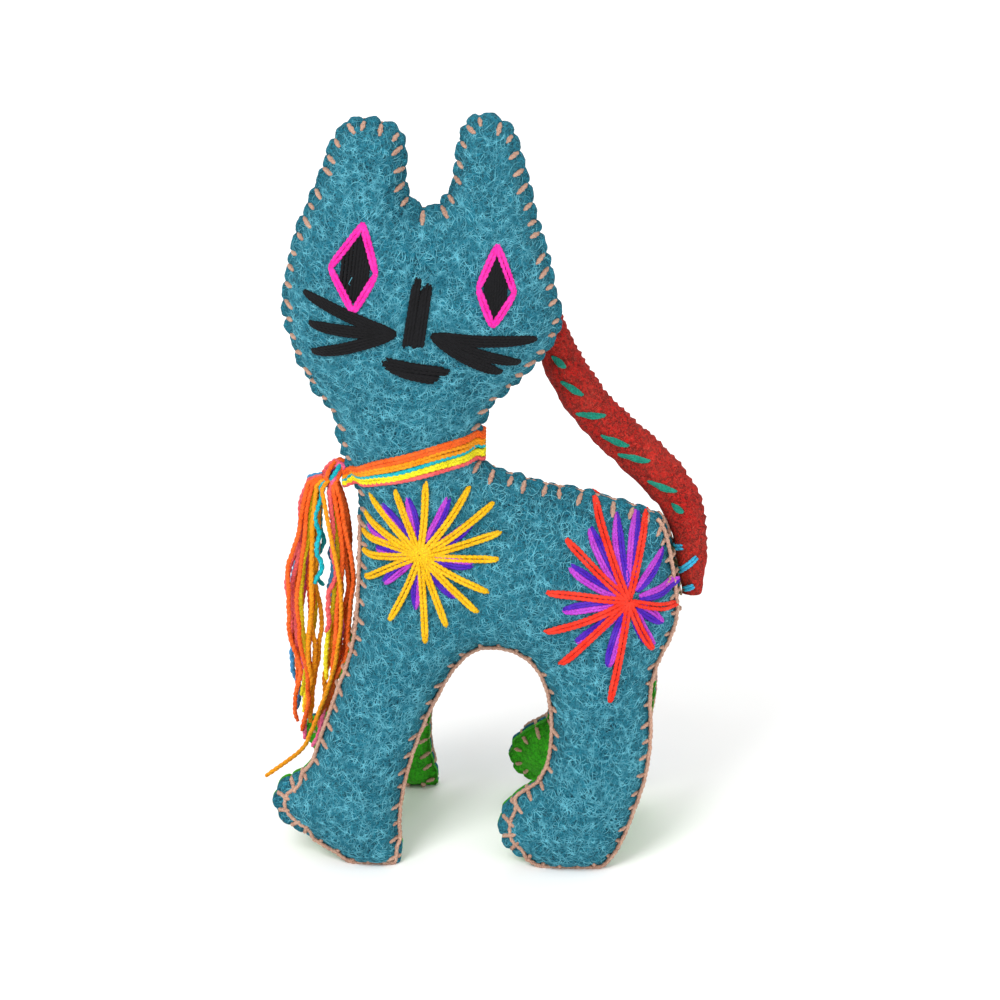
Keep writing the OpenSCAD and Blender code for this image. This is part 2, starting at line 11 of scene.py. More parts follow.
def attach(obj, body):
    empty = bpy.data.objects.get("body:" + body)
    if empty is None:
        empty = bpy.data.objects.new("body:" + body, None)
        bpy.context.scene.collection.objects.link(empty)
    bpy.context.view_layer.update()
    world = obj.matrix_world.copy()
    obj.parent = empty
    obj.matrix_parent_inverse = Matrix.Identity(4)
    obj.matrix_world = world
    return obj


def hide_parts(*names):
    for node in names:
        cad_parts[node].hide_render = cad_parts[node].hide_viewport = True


# Looks of a stuffed wool-felt cat. Sizes are in mm and become metres in build().
MM = 0.001
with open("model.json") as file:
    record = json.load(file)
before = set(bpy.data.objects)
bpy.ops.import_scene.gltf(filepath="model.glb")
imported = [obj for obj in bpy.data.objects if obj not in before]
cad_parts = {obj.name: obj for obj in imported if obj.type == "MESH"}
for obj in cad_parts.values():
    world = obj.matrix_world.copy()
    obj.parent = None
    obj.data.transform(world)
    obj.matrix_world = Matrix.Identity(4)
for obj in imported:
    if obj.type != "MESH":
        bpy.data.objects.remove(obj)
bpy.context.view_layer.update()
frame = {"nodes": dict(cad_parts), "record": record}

# ---- The figure's design values, as in the CAD part ----
K = frame["record"]["size"]["model_scale_k"]
FELT = 2.4
STANCE = 26
LEG_LAG = 7
REAR_LAG_SHARE = 0.1
LAG_H = 50
YARN = 1.0
STRAND = 0.95
# Width that a strand looks, with its loose fibres
STRAND_LOOK = 1.3
# Side outline as [x, z] from the chest over the head and back to the rump ...
UPPER = [
    [-34.4, 92], [-35, 97], [-37.5, 104], [-39, 110], [-41.5, 118.8], [-46.8, 126.4],
    [-51.2, 136], [-53.6, 148], [-52.6, 160], [-48.7, 172], [-44.6, 182], [-42.2, 189],
    [-39.6, 194.8], [-35.8, 198.6], [-29.4, 198.3], [-24.2, 196.2], [-22.5, 189],
    [-22.3, 181], [-20, 175.8], [-15.5, 174.8], [-11.6, 177.4], [-9, 185], [-7.4, 193.4],
    [-5, 199.2], [0.2, 200], [5.3, 196.2], [8.6, 186], [12.1, 171], [15.5, 158],
    [17.8, 146], [15, 138], [7.9, 129.3], [1.3, 123], [-2.7, 116], [-3.5, 109.4],
    [-2.3, 104.9], [2.4, 102.2], [12, 99], [24, 96.7], [38, 92.7], [45, 89.2], [47.5, 82],
]
# ... and from the rump round the feet and the arch to the chest.
LOWER = [
    [49.3, 72], [49.7, 66], [48, 60.3], [44.7, 53.5], [43, 46], [43.2, 36],
    [42.3, 26], [39.6, 17], [36.4, 8.5], [32.2, 2], [27, 0], [17, 0], [11, 2.4],
    [6.4, 5], [4.4, 9.2], [5.2, 14.8], [9, 19.2], [13.8, 22.4], [16.6, 28], [17.4, 37],
    [16.2, 45.8], [12.6, 52.3], [6.8, 56], [0, 56.9], [-5, 55.4], [-9.6, 50.8],
    [-14.2, 43], [-18.7, 33], [-21.7, 23], [-23.2, 13], [-22.9, 3], [-25, 0],
    [-34, 0], [-40, 3.2], [-46, 6.5], [-52, 9.8], [-55.6, 14.5], [-54.6, 19.8],
    [-50, 22.8], [-46.4, 26.2], [-44, 33], [-40.5, 43], [-37, 52.5], [-35, 62],
    [-34.4, 76],
]
SEAM_SPLAY = [[0, 1], [30, 0.72], [57, 0.4], [75, 0.18], [92, 0]]
PUFF = [[0, 7.5], [20, 9.5], [45, 11], [80, 16], [140, 16], [165, 13], [185, 8.5], [200, 5]]
PUFF_REACH = [[0, 13], [45, 16], [80, 28], [160, 26], [185, 12], [200, 8]]
CROTCH = [[0, 0], [42, 0], [60, 1]]
# Height above which the gusset's leg sheets give way to its strip
STRIP_FROM = 44
TAIL = [
    [53.4, 68.2, 0.1, 0.4], [53.4, 72.5, 0.1, 0.52], [53.1, 77.5, 0.14, 0.66],
    [52.4, 84, 0.34, 0.8], [49.5, 91.4, 0.52, 0.96], [43.8, 98.8, 0.6, 1.01],
    [37.2, 105.2, 0.64, 1.01], [30.5, 111.4, 0.68, 1], [24.2, 118.2, 0.76, 0.96],
    [19.2, 126.2, 0.84, 0.9], [15.5, 134.4, 0.9, 0.8], [12.3, 142, 0.96, 0.68],
    [10.2, 147, 1, 0.4],
]
TAIL_D = 11.6
TAIL_LEAN = 17
LEFT_EYE = [[-32.4, 174.7], [-41, 162.8], [-34.8, 151.9], [-28.9, 161.9]]
RIGHT_EYE = [[2.4, 169.4], [-2.4, 158.6], [1.4, 148.3], [6.9, 156.5]]
NOSE_TOP = [-16.8, 160.3]
NOSE_FOOT = [-19.1, 143.4]
MOUTH_ENDS = [[-27.4, 138], [-11.8, 135.6]]
LEFT_WHISKERS = [[-23.7, 146.6], [-48.1, 155], [-46.6, 147], [-46, 139]]
RIGHT_WHISKERS = [[-14.3, 146.4], [12.5, 142.8], [8.2, 136.4], [3.4, 134.2]]
FRONT_FLOWER = [-17.6, 85.4]
REAR_FLOWER = [37.5, 74]
# Each flower's rays as [turn, length]
YELLOW_RAYS = [
    [86, 19.5], [112, 18.5], [137, 19], [157, 17.5], [176, 16.5], [193, 16.5],
    [213, 18.5], [246, 20], [274, 23.5], [291, 20.5], [316, 21.5], [334, 20.5],
    [358, 21], [14, 21.5], [32, 22.5], [52, 20.5],
]
FRONT_VIOLET_RAYS = [
    [133, 15.5], [103, 15.5], [63, 16], [30, 16], [352, 14.5], [311, 15], [266, 14.5],
    [224, 14], [186, 12.5], [165, 15],
]
RED_RAYS = [
    [114, 25], [139, 22.5], [173, 22], [201, 24], [224, 25], [260, 27], [294, 16],
    [338, 13.5], [78, 19],
]
REAR_VIOLET_RAYS = [
    [123, 20], [151, 18], [187, 17.5], [218, 18], [253, 18.5], [295, 15], [318, 12],
    [4, 13.5], [49, 12.6], [86, 19], [102, 19],
]
SCARF = [
    ["orange", 0], ["orange", 1], ["amber", 2], ["amber", 3], ["turquoise", 4],
    ["yellow", 5], ["yellow", 6], ["coral", 7],
]
SCARF_Z = [100, 110.2]
SCARF_X = [-38.7, -1.8]
SCARF_PITCH = 1.02
SCARF_LIFT = 4
KNOT = [-41.6, 0, 101]
FRONT_BUNDLE = [
    [-46.4, 0, 98.4], [-47.9, 0, 91], [-48.6, 0, 82], [-49.6, 0, 73], [-50.3, 0, 64],
    [-50, 0, 55], [-49.4, 0, 46], [-49.6, 0, 38], [-50.6, 0, 30], [-51.6, 0, 22],
]
REAR_BUNDLE = [
    [-41.6, 0, 96.6], [-40.4, 0, 90], [-39.8, 0, 82], [-39.8, 0, 74], [-40.2, 0, 66],
    [-41, 0, 57], [-42.3, 0, 48], [-44.4, 0, 39], [-46.6, 0, 30], [-48.8, 0, 21],
]
LONG_STRAND = [
    [-44.4, -3.6, 97.4], [-42.8, -5, 88], [-40.6, -5.6, 76], [-39, -5.4, 66], [-38.8, -5, 56],
    [-40.8, -4.6, 46], [-43.8, -4.4, 37], [-47.6, -4.2, 29], [-53, -4, 21.6], [-60.4, -4, 14.6],
]
ROUTES = [FRONT_BUNDLE, REAR_BUNDLE, LONG_STRAND]
# Strands as [colour, route, place across the bundle, row in depth, share of the route]
STRANDS = [
    ["turquoise", 0, -1.5, -2, 0.36], ["amber", 0, -0.5, -2, 0.84], ["orange", 0, 0.5, -2, 0.9],
    ["orange", 0, 1.5, -2, 0.78], ["amber", 0, -1, -1, 0.88], ["yellow", 0, 0, -1, 0.86],
    ["coral", 0, 1, -1, 0.62], ["amber", 0, -1.5, 0, 0.9], ["orange", 0, -0.5, 0, 0.94],
    ["yellow", 0, 0.5, 0, 0.8], ["coral", 0, 1.5, 0, 0.6], ["orange", 0, -1, 1, 0.86],
    ["pink", 0, 0, 1, 0.98], ["orange", 0, 1, 1, 0.92], ["turquoise", 0, -1.5, 2, 0.4],
    ["yellow", 0, -0.5, 2, 0.84], ["amber", 0, 0.5, 2, 0.8], ["blue", 0, 1.5, 2, 0.88],
    ["orange", 1, -1, -2, 0.84], ["orange", 1, 0, -2, 0.9], ["coral", 1, 1, -2, 0.56],
    ["orange", 1, -0.5, -1, 0.8], ["yellow", 1, 0.5, -1, 0.74], ["orange", 1, -1, 0, 0.76],
    ["amber", 1, 0, 0, 0.86], ["blue", 1, 1, 0, 0.48], ["pink", 1, -0.5, 1, 1],
    ["yellow", 1, 0.5, 1, 0.6], ["orange", 1, -1, 2, 0.88], ["turquoise", 1, 0, 2, 0.44],
    ["blue", 1, 1, 2, 0.5], ["coral", 1, -0.5, 3, 0.94], ["amber", 2, 0, 0, 1],
]
# Gap between strands as [share of the way down, gap]
SPREAD = [[0, 1.1], [0.2, 1.9], [0.45, 2.6], [0.65, 2.2], [0.8, 1.7], [1, 1.6]]
ROW_GAP = 1.1


# ---- Camera ----
def make_camera():
    """A long lens, a little above the figure and facing its near side."""
    elevation, azimuth, distance, view_width = 21.5, 3, 1600, 265
    target = Vector((2.5, 0, 94)) * MM
    e, a = math.radians(elevation), math.radians(azimuth)
    back = Vector((math.sin(a) * math.cos(e), -math.cos(a) * math.cos(e), math.sin(e)))
    data = bpy.data.cameras.new("camera")
    data.sensor_width = 36
    data.lens = data.sensor_width * distance / view_width
    camera = bpy.data.objects.new("camera", data)
    camera.location = target + back * distance * MM
    camera.rotation_mode = "QUATERNION"
    camera.rotation_quaternion = (-back).to_track_quat("-Z", "Y")
    bpy.context.scene.collection.objects.link(camera)
    bpy.context.scene.camera = camera


make_camera()


# ---- Curves and meshes ----
def spline(points, steps, closed=False):
    """Catmull-Rom points through a list, with so many steps in each stretch."""
    p = np.asarray(points, float)
    if closed:
        p0, p1, p2, p3 = np.roll(p, 1, 0), p, np.roll(p, -1, 0), np.roll(p, -2, 0)
    else:
        padded = np.vstack([p[:1], p, p[-1:]])
        p0, p1, p2, p3 = padded[:-3], padded[1:-2], padded[2:-1], padded[3:]
    t = (np.arange(steps) / steps)[None, :, None]
    p0, p1, p2, p3 = (q[:, None, :] for q in (p0, p1, p2, p3))
    out = 0.5 * (
        2 * p1 + (p2 - p0) * t + (2 * p0 - 5 * p1 + 4 * p2 - p3) * t**2
        + (3 * p1 - p0 - 3 * p2 + p3) * t**3
    )
    out = out.reshape(-1, p.shape[1])
    return out if closed else np.vstack([out, p[-1:]])


def lengths(path, closed=False):
    """Arc length at each point, and at the closing point of a closed path."""
    ends = np.vstack([path, path[:1]]) if closed else path
    return np.concatenate([[0], np.cumsum(np.linalg.norm(np.diff(ends, axis=0), axis=1))])


def at(path, s, closed=False):
    """Points of a path at the arc lengths s."""
    ends = np.vstack([path, path[:1]]) if closed else path
    along = lengths(path, closed)
    s = np.mod(s, along[-1]) if closed else s
    return np.stack([np.interp(s, along, ends[:, i]) for i in range(path.shape[1])], -1)


def even(path, step, closed=False):
    total = lengths(path, closed)[-1]
    count = max(2, round(total / step))
    s = np.arange(count) / count * total if closed else np.linspace(0, total, count + 1)
    return at(path, s, closed)


def table(z, rows):
    rows = np.asarray(rows, float)
    return np.interp(z, rows[:, 0], rows[:, 1])


def ease(x, low, high):
    t = np.clip((x - low) / (high - low), 0, 1)
    return t * t * (3 - 2 * t)


def unit(v):
    return v / np.maximum(np.linalg.norm(v, axis=-1, keepdims=True), 1e-9)


def heading(degrees):
    return np.array([math.cos(math.radians(degrees)), math.sin(math.radians(degrees))])


def sway(points, size, seed):
    """Smooth noise from -1 to 1 at each point, with features of that size."""
    q = np.asarray(points, float) / size
    q = np.hstack([q, np.zeros((len(q), 3 - q.shape[1]))]) + seed * 17.3
    return np.array([noise.noise(v) for v in q])


def add_object(name, data):
    thing = bpy.data.objects.new(name, data)
    bpy.context.scene.collection.objects.link(thing)
    return thing


def build(name, parts, material, body, nodes=()):
    """One piece from (vertices, [face arrays]) parts, riding on a body."""
    verts, corners, sizes, base = [], [], [], 0
    for points, faces in parts:
        verts.append(points)
        for f in faces:
            f = np.asarray(f)
            corners.append((f + base).ravel())
            sizes.append(np.full(len(f), f.shape[1]))
        base += len(points)
    co = np.concatenate(verts) * MM
    corners, sizes = np.concatenate(corners), np.concatenate(sizes)
    mesh = bpy.data.meshes.new(name)
    mesh.vertices.add(len(co))
    mesh.vertices.foreach_set("co", co.astype(np.float32).ravel())
    mesh.loops.add(len(corners))
    mesh.loops.foreach_set("vertex_index", corners.astype(np.int32))
    mesh.polygons.add(len(sizes))
    starts = np.concatenate([[0], np.cumsum(sizes)[:-1]])
    mesh.polygons.foreach_set("loop_start", starts.astype(np.int32))
    mesh.polygons.foreach_set("use_smooth", np.ones(len(sizes), bool))
    mesh.update(calc_edges=True)
    mesh.materials.append(material)
    piece = add_object(name, mesh)
    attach(piece, body)
    if nodes:
        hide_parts(*nodes)
    return piece


def section_frames(path, closed=False):
    """Two unit vectors square to a path, carried along it without twisting."""
    if closed:
        tangent = unit(np.roll(path, -1, 0) - np.roll(path, 1, 0))
    else:
        tangent = unit(np.gradient(path, axis=0))
    first = np.cross(tangent[0], [0, 0, 1] if abs(tangent[0][2]) < 0.9 else [0, 1, 0])
    side = [first / np.linalg.norm(first)]
    for t in tangent[1:]:
        s = side[-1] - t * np.dot(side[-1], t)
        side.append(s / np.linalg.norm(s))
    side = np.array(side)
    return side, np.cross(tangent, side)


def skin_of(rings, closed=False):
    """Faces of a tube of rings shaped (ring, side, 3), with pointed ends unless closed."""
    n, w = rings.shape[:2]
    i, j = np.meshgrid(np.arange(n if closed else n - 1), np.arange(w), indexing="ij")
    a, b = i * w + j, i * w + (j + 1) % w
    c, d = (i + 1) % n * w + (j + 1) % w, (i + 1) % n * w + j
    quads = np.stack([a, b, c, d], -1).reshape(-1, 4)
    points = rings.reshape(-1, 3)
    if closed:
        return points, [quads]
    points = np.vstack([points, rings[0].mean(0), rings[-1].mean(0)])
    k = np.arange(w)
    first = np.stack([np.full(w, n * w), (k + 1) % w, k], -1)
    last = np.stack([np.full(w, n * w + 1), (n - 1) * w + k, (n - 1) * w + (k + 1) % w], -1)
    return points, [quads, np.vstack([first, last])]


def yarn(path, d, plies=2, taper=(0.55, 0.55), closed=False, sides=12, start=0.0, twist=2.6):
    """A twisted yarn: plies wound round each other, with soft ends."""
    path = even(np.asarray(path, float), 0.26 * d, closed)
    along = lengths(path)
    side, up = section_frames(path, closed)
    turn = 2 * math.pi * along / (twist * d)
    if closed:
        total = lengths(path, True)[-1]
        turn = 2 * math.pi * along / total * round(total / (twist * d))
    angle = np.linspace(0, 2 * math.pi, sides, endpoint=False)
    lobes = np.abs(np.cos(plies / 2 * (angle[None, :] - turn[:, None] - start)))
    r = d / 2 * (0.7 + 0.36 * lobes)
    if not closed:
        rest = along[-1] - along
        near = np.minimum(1, along / (1.2 * d)) * (1 - taper[0]) + taper[0]
        far = np.minimum(1, rest / (1.2 * d)) * (1 - taper[1]) + taper[1]
        r = r * (near * far)[:, None]
    ring = side[:, None, :] * np.cos(angle)[None, :, None]
    ring = ring + up[:, None, :] * np.sin(angle)[None, :, None]
    return skin_of(path[:, None, :] + ring * r[:, :, None], closed)


# ---- Materials ----
class Nodes:
    """A small wrapper that adds and links shader nodes."""

    def __init__(self, name):
        self.material = bpy.data.materials.new(name)
        self.material.use_nodes = True
        self.tree = self.material.node_tree
        self.shader = self.tree.nodes["Principled BSDF"]
        self.place = self.add("ShaderNodeTexCoord").outputs["Object"]

    def add(self, kind, links=(), **settings):
        node = self.tree.nodes.new(kind)
        for key, value in settings.items():
            setattr(node, key, value)
        for socket, value in dict(links).items():
            if isinstance(value, bpy.types.NodeSocket):
                self.tree.links.new(value, node.inputs[socket])
            else:
                node.inputs[socket].default_value = value
        return node

    def noise(self, size, detail=2.0, twist=0.0, place=None):
        """Noise with features of that size in mm."""
        node = self.add("ShaderNodeTexNoise", {
            "Vector": place or self.place, "Scale": 1 / (size * MM), "Detail": detail,
            "Roughness": 0.6, "Distortion": twist,
        })
        return node.outputs["Fac"]

    def math(self, operation, a, b=0.0):
        return self.add("ShaderNodeMath", {0: a, 1: b}, operation=operation).outputs[0]

    def ramp(self, value, low, high, out_low=0.0, out_high=1.0):
        return self.add("ShaderNodeMapRange", {
            "Value": value, "From Min": low, "From Max": high,
            "To Min": out_low, "To Max": out_high,
        }).outputs["Result"]

    def mix(self, share, a, b):
        sockets = {0: share, 6: a, 7: b}
        return self.add("ShaderNodeMix", sockets, data_type="RGBA").outputs[2]

    def lines(self, size, width, twist, shift):
        """Thin curved lines, like loose fibres, where a noise crosses its middle value."""
        place = self.add("ShaderNodeVectorMath", {0: self.place, 1: shift}, operation="ADD")
        value = self.noise(size, 1.0, twist, place.outputs[0])
        away = self.math("ABSOLUTE", self.math("SUBTRACT", value, 0.5))
        return self.ramp(away, 0, width, 1, 0)

    def finish(self, colour, height, strength, distance, roughness, sheen=0.0, tint=None):
        self.tree.links.new(colour, self.shader.inputs["Base Color"])
        bump = self.add("ShaderNodeBump", {
            "Height": height, "Strength": strength, "Distance": distance * MM,
        })
        self.tree.links.new(bump.outputs["Normal"], self.shader.inputs["Normal"])
        self.shader.inputs["Roughness"].default_value = roughness
        self.shader.inputs["Specular IOR Level"].default_value = 0.25
        self.shader.inputs["Sheen Weight"].default_value = sheen
        self.shader.inputs["Sheen Roughness"].default_value = 0.5
        if tint is not None:
            self.shader.inputs["Sheen Tint"].default_value = tint
        return self.material


def srgb(r, g, b):
    """A colour given as 0-255 screen values, in the renderer's linear units."""
    def linear(c):
        c = c / 255
        return c / 12.92 if c <= 0.04045 else ((c + 0.055) / 1.055) ** 2.4
    return (linear(r), linear(g), linear(b), 1.0)


def felt(name, gap_shade, mid, light, fuzz=1.0):
    """Pressed wool: a mat of curled fibres, with painted shade in the gaps between them."""
    n = Nodes(name)
    # Painted shade: where this noise is low, the gaps between fibres are mixed towards the dark gap
    # colour.
    gap_shade_mask = n.ramp(n.noise(0.9, 1.5, 1.3), 0.39, 0.52)
    clumps = n.ramp(n.noise(2.4, 2, 0.6), 0.38, 0.62)
    patches = n.ramp(n.noise(11, 2), 0.3, 0.7)
    colour = n.mix(n.math("MULTIPLY", gap_shade_mask, n.ramp(clumps, 0, 1, 0.6, 1.0)), gap_shade, mid)
    colour = n.mix(n.math("MULTIPLY", patches, 0.16), colour, light)
    long = n.lines(3.0, 0.016, 2.6, (0.31, 0.12, 0.7))
    short = n.lines(1.5, 0.03, 1.9, (0.05, 0.44, 0.2))
    curled = n.lines(0.95, 0.05, 1.5, (0.61, 0.93, 0.4))
    fine = n.math("MULTIPLY", n.math("MAXIMUM", short, curled), 0.62)
    fibres = n.math("MAXIMUM", long, fine)
    colour = n.mix(n.math("MULTIPLY", fibres, 0.85 * fuzz), colour, light)
    height = n.math("ADD", n.math("MULTIPLY", gap_shade_mask, 0.8), n.math("MULTIPLY", fibres, 0.5))
    return n.finish(colour, height, 0.9, 0.4, 0.95, 0.08, light)


def thread(name, colour, deep, light, sheen=0.15):
    """Spun yarn: fine fibres along it, and dark streaks of painted shade for the grooves between its
    plies.
    """
    n = Nodes(name)
    # Painted shade: where these noise streaks are low, the yarn is mixed towards its darker tone, for
    # the grooves between plies.
    groove_shade_mask = n.ramp(n.noise(0.32, 3, 0.6), 0.34, 0.62)
    tone = n.ramp(n.noise(3.5, 1), 0.3, 0.7)
    shade = n.mix(groove_shade_mask, deep, colour)
    shade = n.mix(n.math("MULTIPLY", tone, 0.3), shade, light)
    return n.finish(shade, groove_shade_mask, 0.6, 0.14, 0.8, sheen, light)


def tints(r, g, b):
    """A yarn's colour, its darker tone for the painted shade in its grooves, and its light tone."""
    deep = srgb(r * 0.66, g * 0.56, b * 0.62)
    light = srgb(*(c + (255 - c) * 0.22 for c in (r, g, b)))
    return srgb(r, g, b), deep, light


# Each felt's first colour is the painted shade in the gaps between its fibres.
TEAL = felt("teal_felt", srgb(0, 18, 34), srgb(6, 94, 118), srgb(78, 184, 206))
GREEN = felt("green_felt", srgb(16, 112, 4), srgb(46, 182, 18), srgb(112, 224, 60), 0.5)
RED = felt("red_felt", srgb(84, 2, 4), srgb(186, 12, 10), srgb(228, 88, 70), 0.7)
WOOL = felt("stuffing_wool", srgb(200, 194, 178), srgb(236, 232, 220), srgb(255, 252, 244))
CORE = felt("tail_core_wool", srgb(86, 14, 12), srgb(140, 26, 22), srgb(180, 60, 50))
YARNS = {
    "beige_thread": (202, 160, 134), "teal_green_thread": (10, 140, 114),
    "sky_blue_thread": (50, 184, 226), "pink_yarn": (255, 34, 178),
    "yellow_yarn": (252, 198, 0), "violet_yarn": (192, 62, 214),
    "indigo_yarn": (72, 20, 188), "red_yarn": (255, 48, 22), "orange_yarn": (255, 100, 16),
    "amber_yarn": (255, 162, 0), "turquoise_yarn": (0, 188, 200),
    "lemon_yarn": (255, 246, 20), "coral_yarn": (250, 98, 98), "rose_yarn": (255, 110, 160),
    "blue_yarn": (60, 150, 205),
}
# Each yarn's darker tone is the painted shade in the grooves between its plies.
THREADS = {name: thread(name, *tints(*rgb)) for name, rgb in YARNS.items()}
THREADS["black_yarn"] = thread("black_yarn", srgb(9, 9, 12), srgb(2, 2, 4), srgb(20, 20, 25), 0.02)


def build_yarns(name, yarns, slot, nodes=(), body="figure"):
    """A piece of yarns in the colour of its slot."""
    return build(name, yarns, THREADS[slot], body, nodes)


STRAND_SLOTS = {
    "turquoise": "turquoise_yarn", "amber": "amber_yarn", "orange": "orange_yarn",
    "coral": "coral_yarn", "yellow": "lemon_yarn", "pink": "rose_yarn", "blue": "blue_yarn",
}


# ---- The tassel's free strands ----
def strand_route(strand):
    """A strand's line beside its bundle's route, which starts inside the knot."""
    _, bundle, column, row, share = strand
    route = spline(ROUTES[bundle], 3)
    steps = np.arange(len(route))

    def along(u):
        return np.array([np.interp(u * steps[-1], steps, route[:, i]) for i in range(3)])

    points = []
    for u in np.linspace(0, share, 27):
        way = unit(along(min(1, u + 0.02)) - along(max(0, u - 0.02)))
        across = unit(np.cross(way, [0, 1, 0]))
        gap = table(u, SPREAD)
        points.append(along(u) - across * column * gap + [0, row * ROW_GAP * (gap + 1) / 2, 0])
    return np.array(points) * K


def make_tassel():
    knot = np.array(KNOT) * K
    stands_for = set()
    for number, strand in enumerate(STRANDS):
        colour = strand[0]
        rng = np.random.default_rng(100 + number)
        route = strand_route(strand)
        bend = np.linspace(0, 1, len(route))[:, None]
        swing = np.stack([sway(bend * 100, 24, number), sway(bend * 100, 18, number + 50)], 1)
        kinks = np.stack([sway(bend * 100, 7, number + 90), sway(bend * 100, 6, number + 140)], 1)
        route[:, :2] += swing * bend**0.7 * [3.2, 1.8] + kinks * bend * [0.9, 0.7]
        line = spline(np.vstack([knot + (route[0] - knot) * 0.45, route]), 5)
        slot = STRAND_SLOTS[colour]
        d = STRAND_LOOK * rng.uniform(0.92, 1.08) * K
        parts = [yarn(line, d, 2, (0.9, 0.75), start=rng.uniform(0, 3))]
        nodes = [] if colour in stands_for else [f"tassel_{colour}"]
        stands_for.add(colour)
        piece = build_yarns(f"tassel_strand_{number + 1}", parts, slot, nodes, "tassel")


make_tassel()


# ---- The felt body ----
OUTLINE = spline(UPPER + LOWER, 10, closed=True) * K
ROUND = lengths(OUTLINE, True)[-1]


def seam_y(z):
    return STANCE * K * table(z / K, SEAM_SPLAY)


def bulge(d, z):
    """Half thickness of the stuffing at a depth in from the outline."""
    u = np.clip(d / (K * table(z / K, PUFF_REACH)), 0, 1)
    return K * table(z / K, PUFF) * (u * (2 - u)) ** 0.6


def outline_normal(s):
    """Unit vector out of the outline at arc length s."""
    way = unit(at(OUTLINE, s + 0.6, True) - at(OUTLINE, s - 0.6, True))
    return np.stack([way[..., 1], -way[..., 0]], -1) * turn_sign


area = np.sum(OUTLINE[:, 0] * np.roll(OUTLINE[:, 1], -1) - np.roll(OUTLINE[:, 0], -1) * OUTLINE[:, 1])
turn_sign = 1.0 if area > 0 else -1.0


def nearest(points, line):
    """(distance, arc length of the nearest place, inside) of points to a closed line."""
    a = line
    b = np.roll(line, -1, 0)
    ab = b - a
    along = lengths(line, True)[:-1]
    span = np.linalg.norm(ab, axis=1)
    dist, place, inside = [], [], []
    for p in np.array_split(points, max(1, len(points) // 1500)):
        ap = p[:, None, :] - a[None]
        t = np.clip((ap * ab).sum(-1) / (span**2), 0, 1)
        gap = np.linalg.norm(ap - t[..., None] * ab, axis=-1)
        i = gap.argmin(1)
        rows = np.arange(len(p))
        dist.append(gap[rows, i])
        place.append(along[i] + t[rows, i] * span[i])
        above = (a[None, :, 1] > p[:, None, 1]) != (b[None, :, 1] > p[:, None, 1])
        rise = np.where(np.abs(ab[:, 1]) < 1e-9, 1e-9, ab[:, 1])
        cross = ab[None, :, 0] * (p[:, None, 1] - a[None, :, 1]) / rise + a[None, :, 0]
        inside.append((above & (p[:, None, 0] < cross)).sum(1) % 2 == 1)
    return np.concatenate(dist), np.concatenate(place), np.concatenate(inside)


def place_of(x, z):
    """Arc length of the outline's place nearest to a point."""
    return nearest(np.array([[x, z]]) * K, OUTLINE)[1][0]


def ring_gap(s, centre):
    gap = np.abs(np.mod(s - centre, ROUND))
    return np.minimum(gap, ROUND - gap)


# Stitch places along the seam, and how far the felt stands out between them
STITCH_PITCH = 4.7 * K
FRONT_TOE = place_of(-56, 14)
REAR_TOE = place_of(2, 9)
HEEL = place_of(-23, 3)
stitch_rng = np.random.default_rng(3)
STITCHES = np.arange(round(ROUND / STITCH_PITCH)) * ROUND / round(ROUND / STITCH_PITCH)
STITCHES = STITCHES + stitch_rng.uniform(-0.8, 0.8, len(STITCHES))
SCALLOPS = stitch_rng.uniform(1.05, 1.95, len(STITCHES))
LEG_TILT = stitch_rng.uniform(-0.4, 0.4, len(STITCHES))
LEG_LENGTH = stitch_rng.uniform(1.6, 3.0, len(STITCHES))


def toe(s):
    """1 where the flat felt edge stands out round the toes, else 0."""
    front = 1 - ease(ring_gap(s, FRONT_TOE), 9, 15)
    rear = 1 - ease(ring_gap(s, REAR_TOE), 7, 12)
    heel = 0.6 * (1 - ease(ring_gap(s, HEEL), 2, 5))
    return np.maximum(np.maximum(front, rear), heel)


def flange(s):
    """Width of the flat felt edge outside the stuffing."""
    return 0.9 + 1.5 * toe(s)


def loose(s):
    """1 where both panels meet in one seam and their edges stand free, else a small share."""
    z = at(OUTLINE, s, True)[..., 1]
    return np.maximum(0.3 + 0.7 * ease(z, 88 * K, 94 * K), 0.85 * toe(s))


def scallop(s):
    """How far the felt's cut edge stands outside the outline."""
    s = np.mod(s, ROUND)
    i = np.searchsorted(STITCHES, s) - 1
    low = STITCHES[i % len(STITCHES)]
    high = STITCHES[(i + 1) % len(STITCHES)]
    u = np.clip(np.mod(s - low, ROUND) / np.mod(high - low, ROUND), 0, 1)
    bump = SCALLOPS[i % len(STITCHES)] * (4 * u * (1 - u) + 1e-6) ** 0.3
    ragged = sway(np.stack([s, s * 0], -1).reshape(-1, 2), 1.5, 77).reshape(np.shape(s)) * 0.42
    return (bump - 0.75 + ragged) * loose(s)


def edge_line(step, grow=0.0):
    """The cut edge of the felt, scalloped between its stitches."""
    s = np.arange(round(ROUND / step)) * ROUND / round(ROUND / step)
    points = at(OUTLINE, s, True) + outline_normal(s) * (scallop(s) + grow)[:, None]
    points[:, 1] = np.maximum(points[:, 1], 0.15)
    return points, s


GRID = 1.15


